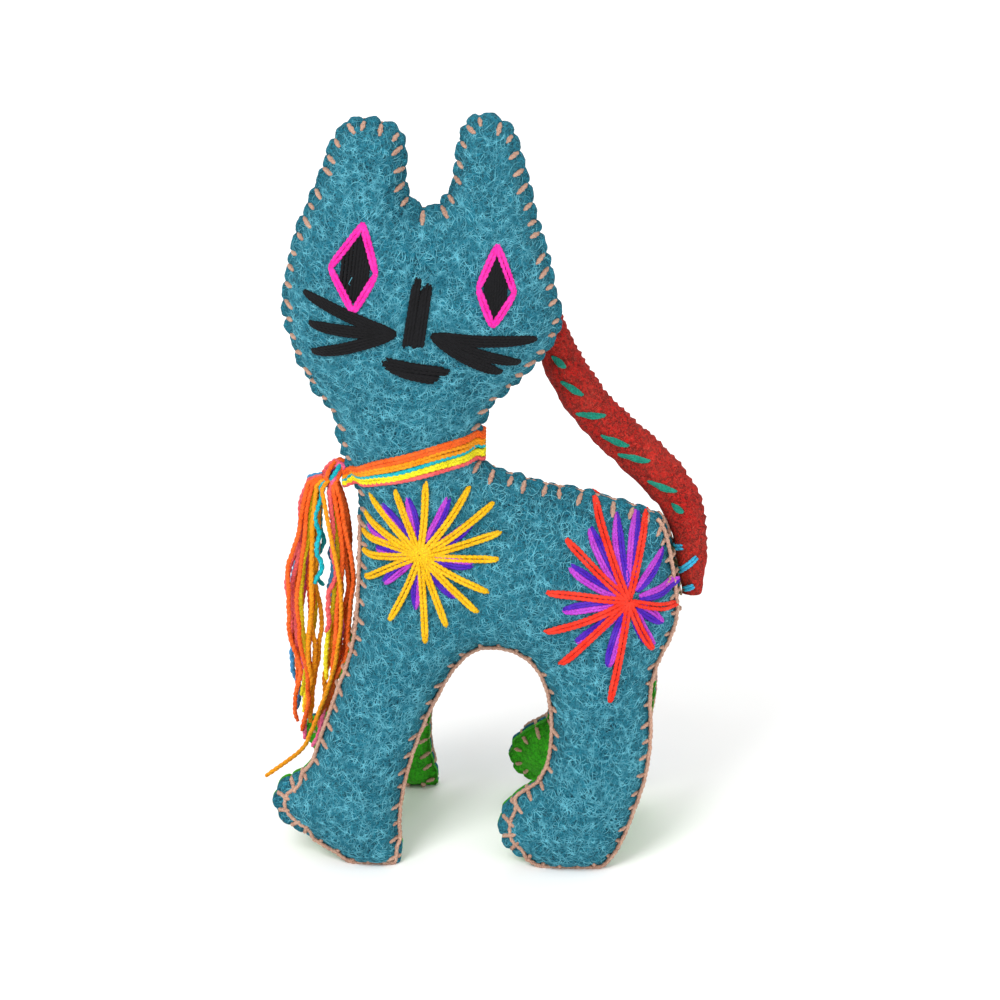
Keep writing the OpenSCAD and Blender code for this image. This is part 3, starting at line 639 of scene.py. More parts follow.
def flat_mesh():
    """The outline filled with even triangles: points, triangles, and the rim's loop."""
    rim, rim_s = edge_line(0.6)
    low, high = rim.min(0), rim.max(0)
    rows = np.arange(low[1], high[1], GRID * 0.866)
    inner = []
    for i, z in enumerate(rows):
        xs = np.arange(low[0] + (i % 2) * GRID / 2, high[0], GRID)
        inner.append(np.stack([xs, np.full(len(xs), z)], -1))
    inner = np.vstack(inner)
    gap, _, inside = nearest(inner, rim)
    inner = inner[inside & (gap > 0.55 * GRID)]
    points = np.vstack([rim, inner])
    n = len(rim)
    edges = [(i, (i + 1) % n) for i in range(n)]
    out = delaunay_2d_cdt([Vector(p) for p in points], edges, [], 1, 1e-6)
    points = np.array(out[0], float)
    tris = np.array([f for f in out[2] if len(f) == 3])
    a, b, c = (points[tris[:, i]] for i in range(3))
    turned = np.cross(b - a, c - a) < 0
    tris[turned] = tris[turned][:, ::-1]
    return points, tris, n, rim_s


FLAT, TRIS, RIM, RIM_S = flat_mesh()
gap, FLAT_S, inside = nearest(FLAT, OUTLINE)
DEPTH = np.where(inside, gap, -gap)
STITCH_GAP = np.min(np.stack([ring_gap(FLAT_S, s) for s in STITCHES]), 0)
EDGES = np.unique(np.sort(np.vstack([TRIS[:, [0, 1]], TRIS[:, [1, 2]], TRIS[:, [2, 0]]]), 1), axis=0)


def smoothed(values, weight, rounds):
    """Values relaxed towards their neighbours, as far as weight allows."""
    i, j = EDGES.T
    count = np.bincount(i, minlength=len(values)) + np.bincount(j, minlength=len(values))
    for _ in range(rounds):
        total = np.bincount(i, values[j], len(values)) + np.bincount(j, values[i], len(values))
        values = values + weight * (total / count - values)
    return values


def stuffed():
    """Half thickness of the stuffed body over the flat mesh."""
    z = FLAT[:, 1]
    deep = np.maximum(0, DEPTH - flange(FLAT_S))
    height = bulge(deep, z)
    height = smoothed(height, 0.8 * ease(DEPTH, 3, 7), 26)
    return smoothed(height, 0.35 * ease(DEPTH, 0.8, 2.5), 3)


HEIGHT = stuffed()


def lumps(side):
    """Unevenness of the stuffed felt: soft swells, and puckers at the stitches."""
    soft = sway(FLAT, 17, side) * 0.75 + sway(FLAT, 7, side + 9) * 0.28
    grain = sway(FLAT, 2.4, side + 4) * 0.13
    pucker = 0.75 * np.exp(-((STITCH_GAP / 0.95) ** 2)) * (1 - ease(DEPTH, 0.6, 4.6))
    return soft * ease(DEPTH, 1.5, 8) + grain * ease(DEPTH, 0, 2) - pucker


def lagged(points):
    """The far outline: the far legs stand a little behind the near ones."""
    moved = points.copy()
    share = np.where(points[:, 0] < -5 * K, 1, REAR_LAG_SHARE)
    moved[:, 0] += LEG_LAG * K * share * np.maximum(0, 1 - points[:, 1] / (LAG_H * K))
    return moved


def place_on(side, points, y):
    """3-D points from [x, z] and a distance from the middle plane, on one side."""
    flat = lagged(points) if side > 0 else points
    return np.stack([flat[:, 0], side * y, flat[:, 1]], -1)


def rim_skirt(n, side, rows):
    """Quads between rows of the rim's loop; rows are vertex offsets."""
    quads = []
    k = np.arange(n)
    for a, b in zip(rows[:-1], rows[1:]):
        quads.append(np.stack([a + k, b + k, b + (k + 1) % n, a + (k + 1) % n], -1))
    return np.vstack(quads) if side > 0 else np.vstack(quads)[:, ::-1]


def panel_parts(side):
    """A felt side panel with its thickness and its rounded, scalloped edge."""
    z = FLAT[:, 1]
    thick = FELT * K * (0.55 + 0.45 * ease(DEPTH, -0.6, 2.2))
    inner = seam_y(z) + HEIGHT + 0.04
    outer = inner + thick + lumps(side)
    out = outline_normal(RIM_S)
    middle = FLAT[:RIM] + out * 0.3
    rim_inner, rim_outer = inner[:RIM], outer[:RIM]
    row_a = place_on(side, middle, rim_outer * 0.75 + rim_inner * 0.25)
    row_b = place_on(side, middle, rim_outer * 0.3 + rim_inner * 0.7)
    n = len(FLAT)
    points = np.vstack([place_on(side, FLAT, outer), place_on(side, FLAT, inner), row_a, row_b])
    front = TRIS if side < 0 else TRIS[:, ::-1]
    back = n + front[:, ::-1]
    skirt = rim_skirt(RIM, side, [0, 2 * n, 2 * n + RIM, n])
    return (points, [np.vstack([front, back]), skirt]), outer


PANELS = {-1: "near", 1: "far"}
OUTER = {}
for side, name in PANELS.items():
    part, OUTER[side] = panel_parts(side)
    panel = build(f"{name}_felt_panel", [part], TEAL, "figure", [f"{name}_side_panel"])


class Skin:
    """Distance of a panel's outer face from the middle plane, over [x, z]."""

    STEP = 0.6

    def __init__(self, side):
        self.side = side
        points = place_on(side, FLAT, OUTER[side])
        tree = BVHTree.FromPolygons([Vector(p) for p in points], TRIS.tolist())
        self.low = points[:, [0, 2]].min(0) - 4
        high = points[:, [0, 2]].max(0) + 4
        nx, nz = np.ceil((high - self.low) / self.STEP).astype(int)
        grid = np.full((nz, nx), np.nan)
        far, way = side * 100, Vector((0, -side, 0))
        for j in range(nz):
            z = self.low[1] + j * self.STEP
            for i in range(nx):
                hit = tree.ray_cast(Vector((self.low[0] + i * self.STEP, far, z)), way)[0]
                if hit is not None:
                    grid[j, i] = abs(hit.y)
        self.real = ~np.isnan(grid)
        for _ in range(8):
            around = np.stack([np.roll(grid, d, a) for d in (-1, 1) for a in (0, 1)])
            known = ~np.isnan(around)
            mean = np.where(known, around, 0).sum(0) / np.maximum(known.sum(0), 1)
            grid = np.where(np.isnan(grid) & known.any(0), mean, grid)
        self.grid = np.nan_to_num(grid, nan=FELT * K)

    def y(self, p):
        q = (np.asarray(p, float) - self.low) / self.STEP
        i = np.clip(q[..., 0], 0, self.grid.shape[1] - 1.001)
        j = np.clip(q[..., 1], 0, self.grid.shape[0] - 1.001)
        i0, j0 = i.astype(int), j.astype(int)
        u, v, g = i - i0, j - j0, self.grid
        low = g[j0, i0] * (1 - u) + g[j0, i0 + 1] * u
        high = g[j0 + 1, i0] * (1 - u) + g[j0 + 1, i0 + 1] * u
        return low * (1 - v) + high * v

    def inside(self, p):
        q = np.round((np.asarray(p, float) - self.low) / self.STEP).astype(int)
        return self.real[
            np.clip(q[..., 1], 0, self.real.shape[0] - 1), np.clip(q[..., 0], 0, self.real.shape[1] - 1)
        ]

    def on(self, p, lift):
        """3-D points on the felt, raised by lift."""
        p = np.asarray(p, float)
        return np.stack([p[..., 0], self.side * (self.y(p) + lift), p[..., 1]], -1)


SKIN = {side: Skin(side) for side in PANELS}


# ---- The gusset under the body and inside the legs ----
def slab(front, back):
    """A closed sheet between two grids of points shaped (row, column, 3)."""
    rows, columns = front.shape[:2]
    n = rows * columns
    index = np.arange(n).reshape(rows, columns)
    quads = np.stack([index[:-1, :-1], index[:-1, 1:], index[1:, 1:], index[1:, :-1]], -1).reshape(-1, 4)
    loop = np.concatenate([index[0, :-1], index[:-1, -1], index[-1, :0:-1], index[:0:-1, 0]])
    after = np.roll(loop, -1)
    walls = np.stack([after, loop, loop + n, after + n], -1)
    points = np.vstack([front.reshape(-1, 3), back.reshape(-1, 3)])
    return points, [quads, quads[:, ::-1] + n, walls]


def leg_sheet(side):
    """The green felt inside one front and one rear leg."""
    z = FLAT[:, 1]
    start = seam_y(z) * (1 - table(z / K, CROTCH))
    dip = sway(FLAT, 9, side + 30) * 0.5 * ease(DEPTH, 1, 5)
    hidden = np.maximum(0, start - HEIGHT)
    shown = np.maximum(0, start - HEIGHT - FELT * K * 0.9 + dip)
    keep = (z[TRIS].mean(1) < 63 * K) & (hidden[TRIS].max(1) > 0.03)
    tris = TRIS[keep]
    used, packed = np.unique(tris, return_inverse=True)
    tris = packed.reshape(-1, 3)
    edges = np.vstack([tris[:, [0, 1]], tris[:, [1, 2]], tris[:, [2, 0]]])
    key = np.sort(edges, 1) @ [1, len(used)]
    _, first, count = np.unique(key, return_index=True, return_counts=True)
    rim = edges[first[count == 1]]
    grow = np.zeros((len(used), 2))
    on_rim = used < RIM
    grow[on_rim] = outline_normal(RIM_S[used[on_rim]]) * 0.3
    flat = FLAT[used]
    n = len(used)
    a, b = place_on(side, flat, hidden[used]), place_on(side, flat, shown[used])
    middle = place_on(side, flat + grow, (hidden[used] + shown[used]) / 2)
    points = np.vstack([a, b, middle])
    skirt = np.vstack([
        np.stack([rim[:, 0], rim[:, 1], rim[:, 1] + 2 * n, rim[:, 0] + 2 * n], -1),
        np.stack([rim[:, 0] + 2 * n, rim[:, 1] + 2 * n, rim[:, 1] + n, rim[:, 0] + n], -1),
    ])
    return points, [np.vstack([tris, tris[:, ::-1] + n]), skirt]


def bands():
    """The strip of the gusset that closes the belly, chest and rump between the seams."""
    s = np.arange(0, ROUND, 1.2)
    z = at(OUTLINE, s, True)[:, 1]
    wanted = (z > 42 * K) & (z < 91 * K)
    wanted &= ~((at(OUTLINE, s, True)[:, 0] > 5 * K) & (z > 84 * K))
    ends = np.flatnonzero(np.diff(wanted.astype(int)))
    runs = np.split(np.arange(len(s)), ends + 1)
    parts = []
    for run in (r for r in runs if wanted[r[0]] and len(r) > 3):
        o, out, zz = at(OUTLINE, s[run], True), outline_normal(s[run]), z[run]
        high = seam_y(zz)
        low = high * (1 - table(zz / K, CROTCH))
        for side in PANELS:
            front, back = [], []
            for t in np.linspace(0, 1, 8):
                y = high + (low - high) * t
                down = np.clip(-out[:, 1], 0, 1)
                lip = np.maximum(0, scallop(s[run]) + 0.3) * (1 - ease(high - y, 0, 2.2 * K))
                push = lip * down - 0.7 * (1 - down)
                front.append(place_on(side, o + out * push[:, None], y))
                back.append(place_on(side, o + out * (push - FELT * K * 0.9)[:, None], y))
            parts.append(slab(np.array(front), np.array(back)))
    return parts


gusset = build(
    "underside_gusset_felt", [leg_sheet(-1), leg_sheet(1), *bands()], GREEN, "figure",
    ["belly_gusset"],
)


# ---- Seam stitches ----
def gusset_reach(side, o, out, s, q):
    """A point of the gusset q mm in from its seam, down a leg or across the belly."""
    z = o[1]
    if z < STRIP_FROM * K:
        p = o - out * q
        deep = np.array([max(0.0, q - flange(np.array([s]))[0])])
        y = seam_y(p[1]) - bulge(deep, np.array([p[1]]))[0] - FELT * K - 0.15
    else:
        p = o + out * 0.9
        y = max(0.0, seam_y(z) - q - 0.8)
    return place_on(side, p[None], np.array([max(0.3, y)]))[0]


def face_leg(side, number, start, length):
    """The part of a stitch that lies on a panel's face, from its inner end outwards."""
    s = np.array([STITCHES[number]])
    o, out = at(OUTLINE, s, True)[0], outline_normal(s)[0]
    along = np.array([-out[1], out[0]])
    points = []
    for share, lift in ((1, -0.45), (0.92, 0.1), (0.65, 0.42), (0.35, 0.42), (0.08, 0.1), (0, -0.25)):
        q = start + length * share
        p = o - out * q + along * LEG_TILT[number] * length * share
        flat = lagged(p[None]) if side > 0 else p[None]
        points.append(SKIN[side].on(flat, lift)[0])
    return np.array(points)


def crest_of(number):
    """The place where a stitch crosses the felt's edge, and the seam's distance there."""
    s = np.array([STITCHES[number]])
    o, out = at(OUTLINE, s, True)[0], outline_normal(s)[0]
    crest = o + out * (scallop(s)[0] + 0.35)
    crest[1] = max(crest[1], 0.6)
    return crest, o, out, s[0], seam_y(o[1])


def head_stitch(number):
    """A short fat stitch on each panel, joined by a thinner thread over the edge."""
    crest = crest_of(number)[0]
    faces = {side: face_leg(side, number, 0.1, 0.85 * LEG_LENGTH[number]) for side in PANELS}
    parts = [
        yarn(spline(points, 4), YARN * 1.4, 2, (0.5, 0.7), sides=12) for points in faces.values()
    ]
    over = [place_on(side, crest[None], np.array([FELT * 0.55]))[0] for side in (-1, 1)]
    path = [faces[-1][-2], *over, faces[1][-2]]
    return parts + [yarn(spline(path, 4), YARN * 0.75, 2, (0.8, 0.8), sides=8)]


def leg_stitch(side, number):
    """A stitch from a panel's face over the edge to the gusset."""
    crest, o, out, s, offset = crest_of(number)
    wide = toe(np.array([s]))[0]
    length = 0.75 * LEG_LENGTH[number] + 1.6 * wide
    legs = list(face_leg(side, number, 0.1, length)[:-1])
    over = [place_on(side, crest[None], np.array([offset + w]))[0] for w in (FELT * 0.7, 0)]
    inner = [gusset_reach(side, o, out, s, q) for q in (1.0, 2.4)]
    path = spline(legs + over + inner, 3)
    path[:, 2] = np.maximum(path[:, 2], 0.5)
    return yarn(path, YARN * 1.15, 2, (0.6, 0.6), sides=10)


# Offset from the middle plane below which the panels meet in one seam
ONE_SEAM = 0.4


def seam_stitches():
    upper, lower = [], {-1: [], 1: []}
    for number in range(len(STITCHES)):
        if crest_of(number)[4] < ONE_SEAM:
            upper += head_stitch(number)
        else:
            for side in PANELS:
                lower[side].append(leg_stitch(side, number))
    return upper, lower


def split_runs(single):
    """Stretches of the seam with one thread or with two, as arrays of places round it."""
    edges = np.flatnonzero(np.diff(single.astype(int))) + 1
    runs = np.split(np.arange(len(single)), edges)
    if single[runs[0][0]] == single[runs[-1][0]]:
        runs = [np.concatenate([runs[-1], runs[0]]), *runs[1:-1]]
    return runs


def seam_runs():
    """The thread's run along each seam, from stitch to stitch."""
    s = np.arange(0, ROUND, 1.0)
    o, out = at(OUTLINE, s, True), outline_normal(s)
    offset = seam_y(o[:, 1])
    wide = toe(s)
    on_back = ease(o[:, 0], 0, 6) * (1 - ease(o[:, 1], 100 * K, 106 * K))
    buried = -0.9 + 1.1 * on_back
    crest = np.where(offset < ONE_SEAM, buried, scallop(s) * 0.6 + 0.15)
    parts = {"upper": [], -1: [], 1: []}
    for run in split_runs(offset < ONE_SEAM):
        top = o[run] + out[run] * crest[run][:, None]
        if offset[run[0]] < ONE_SEAM:
            path = place_on(-1, top, np.zeros(len(run)))
            parts["upper"].append(yarn(path, YARN * 1.2, 2, (1, 1), sides=10))
            continue
        for side in PANELS:
            inset = o[run] - out[run] * (2.2 * wide[run])[:, None]
            flat = lagged(inset) if side > 0 else inset
            face = SKIN[side].on(flat, 0.3)
            edge = place_on(side, top, offset[run] + FELT * 0.8)
            w = ease(wide[run], 0.25, 0.8)[:, None]
            path = edge * (1 - w) + face * w
            path[:, 2] = np.maximum(path[:, 2], 0.5)
            parts[side].append(yarn(path, YARN * 1.15, 2, (1, 1), sides=10))
    return parts


upper_stitches, lower_stitches = seam_stitches()
runs = seam_runs()
build_yarns("head_and_back_blanket_stitches", upper_stitches + runs["upper"], "beige_thread",
            ["head_and_back_seam_thread"])
for side, name in PANELS.items():
    build_yarns(f"{name}_leg_blanket_stitches", lower_stitches[side] + runs[side],
                "beige_thread", [f"{name}_leg_seam_thread"])


# ---- Embroidery ----
def laid(side, start, end, lift, aside=0.0, bow=0.0, dive=(1, 1)):
    """A stitch over the felt between two [x, z] points, diving into it at its ends."""
    a, b = np.asarray(start, float) * K, np.asarray(end, float) * K
    length = np.linalg.norm(b - a)
    t = np.linspace(0, 1, max(6, round(length / 0.9)) + 1)
    way = (b - a) / length
    across = np.array([-way[1], way[0]])
    squeeze = np.minimum(1, np.minimum(t, 1 - t) * length / 3.2) * 0.6 + 0.4
    offset = aside * squeeze + bow * np.sin(math.pi * t)
    p = a + (b - a) * t[:, None] + across * offset[:, None]
    near = np.minimum(1, t * length / 1.1)
    far = np.minimum(1, (1 - t) * length / 1.1)
    sunk = 0.75 * (dive[0] * (1 - near) + dive[1] * (1 - far))
    return SKIN[side].on(p, lift - sunk)


def make_flower(side, place, colour, rays, strands, d, lift, start):
    """One colour of a flower: a bundle of strands for every ray."""
    centre = CENTRES[place]
    rng = np.random.default_rng(len(rays) * 7 + side + 1)
    yarns = []
    for turn, reach in rays:
        way = heading(turn)
        bow, layer = rng.uniform(-0.5, 0.5), rng.uniform(0, 0.35)
        for aside in strands:
            grow = rng.uniform(-0.7, 0.3)
            path = laid(side, centre + way * start, centre + way * (reach + grow),
                        lift + layer, aside, bow, (0.2, 1))
            yarns.append(yarn(path, d * K, 2, (0.8, 0.6), start=rng.uniform(0, 3)))
    name = PANELS[side]
    node = f"{name}_{place}_flower_{colour}"
    build_yarns(f"{name}_{place}_{colour}_rays", yarns, f"{colour}_yarn", [node])


CENTRES = {"front": np.array(FRONT_FLOWER, float), "rear": np.array(REAR_FLOWER, float)}
# Place, colour, rays, places of the strands in a ray, their width, lift and start
FLOWERS = [
    ("front", "yellow", YELLOW_RAYS, (-0.48, 0.48), 1.05, 0.75, 0.2),
    ("front", "violet", FRONT_VIOLET_RAYS, (0.35, 1.05), 0.85, 0.3, 3.2),
    ("front", "indigo", FRONT_VIOLET_RAYS, (-0.4, -1.1), 0.85, 0.3, 3.2),
    ("rear", "red", RED_RAYS, (-0.52, 0.52), 1.1, 0.8, 0.2),
    ("rear", "violet", REAR_VIOLET_RAYS, (0.4, 1.15), 0.95, 0.3, 2.6),
    ("rear", "indigo", REAR_VIOLET_RAYS, (-0.4, -1.15), 0.95, 0.3, 2.6),
]
for side in PANELS:
    for design in FLOWERS:
        make_flower(side, *design)


def face_piece(name, paths, d, slot, node):
    rng = np.random.default_rng(len(name))
    yarns = [yarn(p, d * K, 2, (0.75, 0.75), start=rng.uniform(0, 3)) for p in paths]
    build_yarns(name, yarns, slot, [node])


def make_eye(eye, corners):
    top, left, foot, right = (np.array(c, float) for c in corners)
    sides = [(top, left), (left, foot), (foot, right), (right, top)]
    outline = [laid(-1, a, b, 0.55, aside) for a, b in sides for aside in (-0.5, 0.5)]
    face_piece(f"{eye}_eye_pink_outline", outline, 1.15, "pink_yarn", f"{eye}_eye_outline")
    middle = (left + right) / 2
    satin = []
    count = 9
    for i in range(count):
        w = (i + 0.5) / count * 2 - 1
        reach = 0.8 * (1 - abs(w) ** 1.7 * 0.55)
        at_side = middle + (right - left) / 2 * 0.62 * w
        up = at_side + (top - middle) * reach * 0.98
        down = at_side + (foot - middle) * reach
        satin.append(laid(-1, up, down, 0.35))
    face_piece(f"{eye}_eye_satin_pupil", satin, 1.05, "black_yarn", f"{eye}_pupil")


def whisker(root, tip, lift, spread):
    """Four yarns side by side, widest near the root and drawn together at the tip."""
    places = (-1.5, -0.5, 0.5, 1.5)
    return [laid(-1, root, tip, lift, place * spread, bow=place * 0.25) for place in places]


def make_face():
    make_eye("left", LEFT_EYE)
    make_eye("right", RIGHT_EYE)
    top, foot = np.array(NOSE_TOP, float), np.array(NOSE_FOOT, float)
    bars = [(-2.3, -1.3), (-1.5, 0.4), (-0.7, 0.2), (0.5, -1.7), (1.3, -0.9), (2.1, -1.2), (0, -2.4)]
    nose = [laid(-1, top + [x, drop], foot + [x * 1.08, drop * 0.2], 0.55) for x, drop in bars]
    face_piece("nose_bar_stitches", nose, 1.15, "black_yarn", "nose_stitches")
    left, right = (np.array(e, float) for e in MOUTH_ENDS)
    rows = [(1.7, 1.2, 0.4), (0.9, 0.1, 2.2), (0.0, 0.4, 1.6), (-0.9, 1.0, -0.6),
            (-1.7, 2.2, -1.0), (-2.4, 4.0, -2.2)]
    mouth = [laid(-1, left + [a, y], right + [b, y], 0.5) for y, a, b in rows]
    face_piece("mouth_bar_stitches", mouth, 1.15, "black_yarn", "mouth_stitches")
    for side, points in (("left", LEFT_WHISKERS), ("right", RIGHT_WHISKERS)):
        root = np.array(points[0], float)
        lines = []
        for i, tip in enumerate(points[1:]):
            lines += whisker(root, np.array(tip, float), 0.45 + 0.15 * i, 0.54)
        face_piece(f"{side}_whisker_stitches", lines, 1.0, "black_yarn", f"{side}_whiskers")


make_face()


# ---- Scarf and knot ----
def scarf_ring(place):
    """A strand's closed line round the neck, place 0 at the top."""
    rng = np.random.default_rng(40 + place)
    a = np.radians((np.arange(72) + 0.5) * 5)
    share = (1 + np.cos(a)) / 2
    drift = 0.35 * np.sin(a * 2 + rng.uniform(0, 6)) + 0.25 * np.sin(a * 5 + rng.uniform(0, 6))
    gather = 1 - 0.5 * np.exp(-((1 + np.cos(a)) / 0.35))
    z = SCARF_Z[0] + (SCARF_Z[1] - SCARF_Z[0]) * share + SCARF_LIFT * np.sin(a) ** 2
    z = z + ((3.5 - place) * gather + drift * 0.5) * SCARF_PITCH
    x = SCARF_X[0] + (SCARF_X[1] - SCARF_X[0]) * share
    flat = np.stack([x, z], -1) * K
    near = np.sin(a) > 0
    out = np.where(near, SKIN[-1].y(flat), SKIN[1].y(flat))
    y = np.where(near, -1, 1) * (out + STRAND * K * 0.62)
    return np.stack([flat[:, 0], y, flat[:, 1]], -1)


def make_scarf():
    for colour in ("orange", "amber", "turquoise", "yellow", "coral"):
        rings = [scarf_ring(place) for tint, place in SCARF if tint == colour]
        slot = STRAND_SLOTS[colour]
        yarns = [yarn(spline(r, 3, True), STRAND_LOOK * K, 2, closed=True) for r in rings]
        build_yarns(f"scarf_{colour}_strands", yarns, slot, [f"scarf_{colour}"])


def knot_loop(rng, lean):
    """One wrap of yarn round the knot, an upright oval that leans and turns a little."""
    centre = np.array(KNOT) * K + rng.uniform(-0.5, 0.5, 3)
    turn = rng.uniform(0, math.pi)
    flat = np.array([math.cos(turn), math.sin(turn), 0])
    rise = unit(np.array([lean + rng.uniform(-0.2, 0.2), rng.uniform(-0.3, 0.3), 1]))
    t = np.linspace(0, 2 * math.pi, 40, endpoint=False)
    wide, tall = rng.uniform(1.4, 2.3) * K, rng.uniform(2.9, 3.7) * K
    return centre + flat * np.cos(t)[:, None] * wide + rise * np.sin(t)[:, None] * tall


def make_knot():
    rng = np.random.default_rng(12)
    wraps = {
        "coral_yarn": 4, "orange_yarn": 4, "rose_yarn": 3, "blue_yarn": 2, "violet_yarn": 1,
        "turquoise_yarn": 1,
    }
    for number, (slot, count) in enumerate(wraps.items()):
        yarns = [yarn(knot_loop(rng, 0.55), STRAND_LOOK * K, 2, closed=True) for _ in range(count)]
        nodes = [] if number else ["scarf_knot"]
        build_yarns(f"knot_{slot[:-5]}_wraps", yarns, slot, nodes)


make_scarf()
make_knot()


# ---- Tail ----
TAIL_LINE = spline([[q[0] * K, q[2] * TAIL_LEAN, q[1] * K] for q in TAIL], 12)
TAIL_RADII = spline([[q[3] * TAIL_D / 2] for q in TAIL], 12)[:, 0]
# Centre, turn and length of each stitch across the tail's open edge, as [x, turn, length]
WHIPS = [
    [17.4, -33, 4.6], [21, -26, 7], [26.4, 2, 8.2], [32.6, -17, 8.1], [37.8, -8, 9],
    [45.2, -16, 8.5], [49.4, -30, 3.6],
]
ROOT_STITCHES = [
    [[48.6, 80.8], [51, 81.6]], [[49.6, 74.4], [54.9, 79.4]], [[51.4, 69.8], [54.2, 71.2]],
]


def tail_part():
    """The rolled felt: a spiral section whose edge makes a lip along the near side."""
    line = even(TAIL_LINE, 0.8)
    along = lengths(line)
    radii = np.interp(along / along[-1], lengths(TAIL_LINE) / lengths(TAIL_LINE)[-1], TAIL_RADII)
    way = unit(np.gradient(line, axis=0))
    across = unit(np.cross(way, [0, 1, 0]))
    up = np.cross(across, way)
    sides = 72
    turn = np.arange(sides) / sides
    angle = np.radians(-82 + 360 * turn)
    lip = 0.95 + 0.15 * turn
    lip[:2] = [1.03, 0.97]
    squeeze = np.zeros(len(line))
    for x, _, _ in WHIPS:
        spot = along[np.abs(line[:, 0] - x * K).argmin()]
        squeeze += np.exp(-(((along - spot) / 1.7) ** 2))
    near = np.clip(-np.sin(angle), 0, 1) ** 1.5
    r = radii[:, None] * lip[None, :] - 0.55 * squeeze[:, None] * near[None, :]
    ring = across[:, None] * np.cos(angle)[None, :, None] + up[:, None] * np.sin(angle)[None, :, None]
    points = line[:, None] + ring * r[:, :, None]
    flat = points.reshape(-1, 3)
    rough = sway(flat, 6, 61) * 0.5 + sway(flat, 2.1, 62) * 0.42
    ribs = 0.3 * np.sin(along * 2 * math.pi / 2.3)[:, None] * np.clip(-np.cos(angle), 0, 1)[None, :]
    r = r + rough.reshape(r.shape) + ribs * ease(along, 6, 16)[:, None]
    ends = np.minimum(1, (along[-1] - along) / 3.2)
    r = r * np.sqrt(np.clip(1 - (1 - ends) ** 2, 0.02, 1))[:, None]
    return skin_of(line[:, None] + ring * r[:, :, None])


def make_tail():
    part = tail_part()
    tail = build("tail_rolled_felt", [part], RED, "tail", ["tail_sleeve"])
    quads = [q.tolist() for q in part[1][0]]
    tree = BVHTree.FromPolygons([Vector(p) for p in part[0]], quads)

    def over(points, lift):
        out = []
        for x, z in points:
            hit = tree.ray_cast(Vector((x, -60, z)), Vector((0, 1, 0)))[0]
            y = hit.y if hit is not None else (out[-1][1] + 0.7 if out else 2.0)
            out.append([x, y, z])
        out = np.array(out)
        out[:, 1] -= lift
        return out

    whips = []
    for x, turn, length in WHIPS:
        centre = TAIL_LINE[np.abs(TAIL_LINE[:, 0] - x * K).argmin()][[0, 2]]
        way = heading(turn)
        side = heading(turn + 90)
        for row in (-1.5, -0.5, 0.5, 1.5):
            t = np.linspace(-0.5, 0.5, 13)[:, None]
            bow = np.cos(t * math.pi) * 0.44 * row
            path = over(centre + way * t * length * K + side * bow, 0.4 - 0.1 * abs(row))
            path[[0, -1], 1] += 0.7
            whips.append(yarn(path, 0.66 * K, 2, (0.6, 0.6), start=row))
    build_yarns("tail_whip_stitch_threads", whips, "teal_green_thread", ["tail_whip_stitches"], "tail")
    loops = []
    for a, b in ROOT_STITCHES:
        a, b = np.array(a) * K, np.array(b) * K
        t = np.linspace(0, 1, 9)[:, None]
        for row in (-0.4, 0.4):
            side = unit(np.array([-(b - a)[1], (b - a)[0]])) * row
            path = over(a + (b - a) * t + side, 0.5)
            loops.append(yarn(path, 0.9 * K, 2, (0.6, 0.6)))
    build_yarns("tail_root_stitch_threads", loops, "sky_blue_thread", ["tail_root_stitches"], "tail")


make_tail()


# ---- Hidden filling, kept as the CAD nodes ----
for name, material in (
    ("head_stuffing", WOOL), ("torso_stuffing", WOOL), ("leg_stuffing", WOOL), ("tail_core", CORE),
):
    mesh = frame["nodes"][name].data
    mesh.materials.clear()
    mesh.materials.append(material)


# ---- Loose fibres ----
def hairs(paths, d):
    """Thin three-sided fibres along paths shaped (fibre, point, 3)."""
    count, steps = paths.shape[:2]
    way = unit(np.gradient(paths, axis=1))
    side = unit(np.cross(way, [0.13, 1.0, 0.21]))
    up = np.cross(way, side)
    angle = np.radians([90, 210, 330])
    ring = side[:, :, None] * np.cos(angle)[:, None] + up[:, :, None] * np.sin(angle)[:, None]
    thin = np.sin(np.linspace(0.12, math.pi - 0.12, steps)) ** 0.5 * d / 2
    points = (paths[:, :, None] + ring * thin[None, :, None, None]).reshape(-1, 3)
    base = (np.arange(count) * steps * 3)[:, None, None]
    i, j = np.meshgrid(np.arange(steps - 1), np.arange(3), indexing="ij")
    quads = np.stack([i * 3 + j, i * 3 + (j + 1) % 3, i * 3 + 3 + (j + 1) % 3, i * 3 + 3 + j], -1)
    quads = (base[..., None] + quads[None]).reshape(-1, 4)
    return points, [quads]


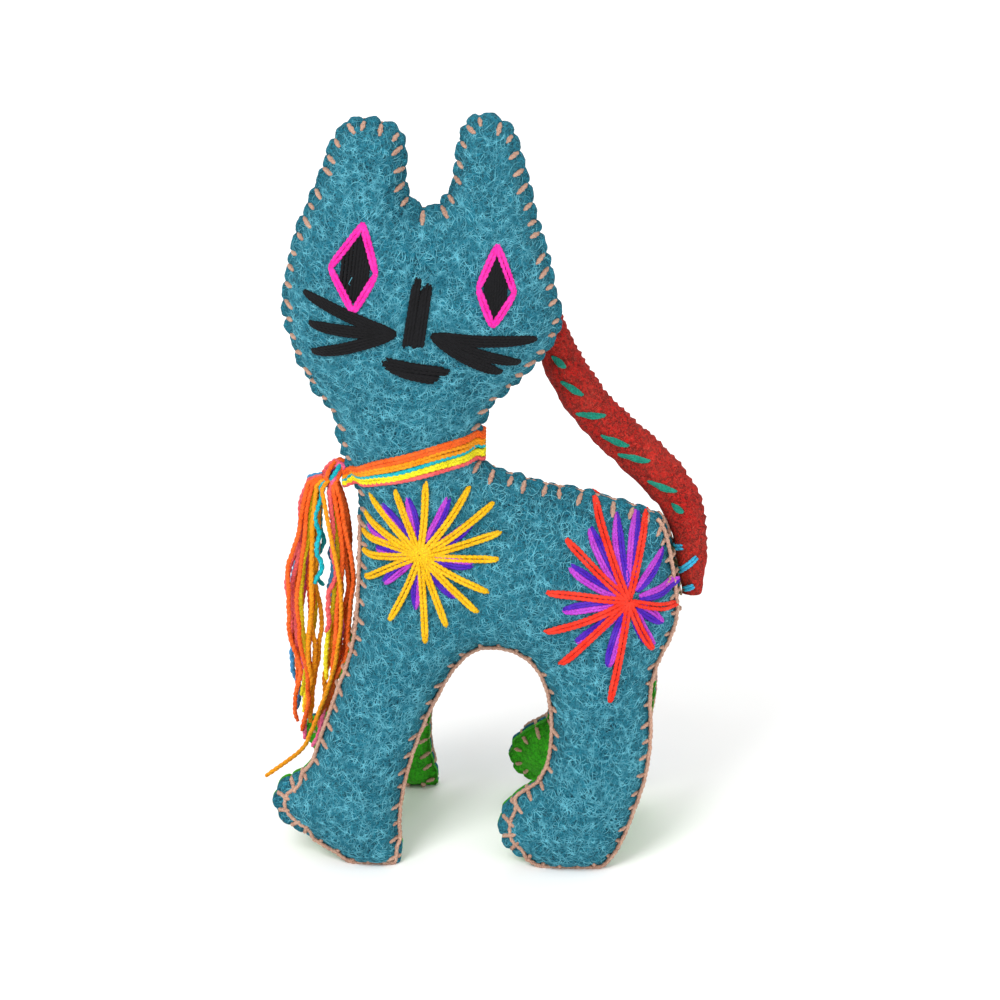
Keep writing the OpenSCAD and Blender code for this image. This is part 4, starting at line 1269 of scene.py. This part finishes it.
def felt_fibres(side, count, seed):
    """Curled wool fibres that lie over a panel."""
    rng = np.random.default_rng(seed)
    steps = 7
    low, high = FLAT.min(0), FLAT.max(0)
    start = rng.uniform(low, high, (count * 3, 2))
    start = start[SKIN[side].inside(start)][:count]
    course = rng.uniform(0, 2 * math.pi, len(start))
    curl = rng.normal(0, 0.42, len(start))
    length = rng.gamma(3.2, 1.25, len(start)) + 1.2
    points = [start]
    for step in range(steps - 1):
        course = course + curl + rng.normal(0, 0.28, len(start))
        way = np.stack([np.cos(course), np.sin(course)], -1)
        points.append(points[-1] + way * (length / steps)[:, None])
    flat = np.stack(points, 1)
    inside = SKIN[side].inside(flat).all(1)
    flat = flat[inside]
    lift = 0.05 + rng.gamma(1.6, 0.07, len(flat))[:, None] * np.sin(
        np.linspace(0.1, math.pi - 0.1, steps))[None]
    return SKIN[side].on(flat, lift)


def make_fibres():
    for side, name in PANELS.items():
        for layer in (1, 2):
            count = 5500
            paths = felt_fibres(side, count, 900 + side + 10 * layer)
            build(f"{name}_felt_fibres_{layer}", [hairs(paths, 0.2)], FUZZ, "figure")


def plain_fibre(name, colour, light):
    n = Nodes(name)
    tone = n.ramp(n.noise(2.2, 2), 0.35, 0.65)
    return n.finish(n.mix(tone, colour, light), tone, 0.1, 0.05, 0.8, 0.3, light)


FUZZ = plain_fibre("teal_fibres", srgb(30, 116, 138), srgb(112, 196, 214))
make_fibres()


# ---- Floor and light ----
def make_stage():
    mesh = bpy.data.meshes.new("floor")
    r = 6.0
    mesh.from_pydata([(-r, -r, 0), (r, -r, 0), (r, r, 0), (-r, r, 0)], [], [(0, 1, 2, 3)])
    n = Nodes("pale_floor")
    grain = n.ramp(n.noise(40, 2), 0.3, 0.7)
    colour = n.mix(grain, srgb(250, 250, 249), srgb(252, 252, 251))
    mesh.materials.append(n.finish(colour, grain, 0.0, 0.1, 0.9))
    add_object("floor", mesh)


def make_light(name, place, power, size, aim=(0, 0, 0.1)):
    data = bpy.data.lights.new(name, "AREA")
    data.energy, data.size = power, size
    light = add_object(name, data)
    light.location = place
    light.rotation_mode = "QUATERNION"
    light.rotation_quaternion = (Vector(aim) - Vector(place)).to_track_quat("-Z", "Y")


def make_world(strength):
    world = bpy.data.worlds.new("studio")
    world.use_nodes = True
    background = world.node_tree.nodes["Background"]
    background.inputs["Color"].default_value = (1, 1, 1, 1)
    background.inputs["Strength"].default_value = strength
    bpy.context.scene.world = world


make_stage()
make_light("key", (-0.55, -1.0, 1.1), 16, 0.7)
make_light("fill", (0.9, -0.9, 0.5), 5, 0.9)
make_light("back", (0.1, 1.1, 1.0), 7, 0.9)
make_world(0.75)
bpy.context.scene.view_settings.view_transform = "Standard"
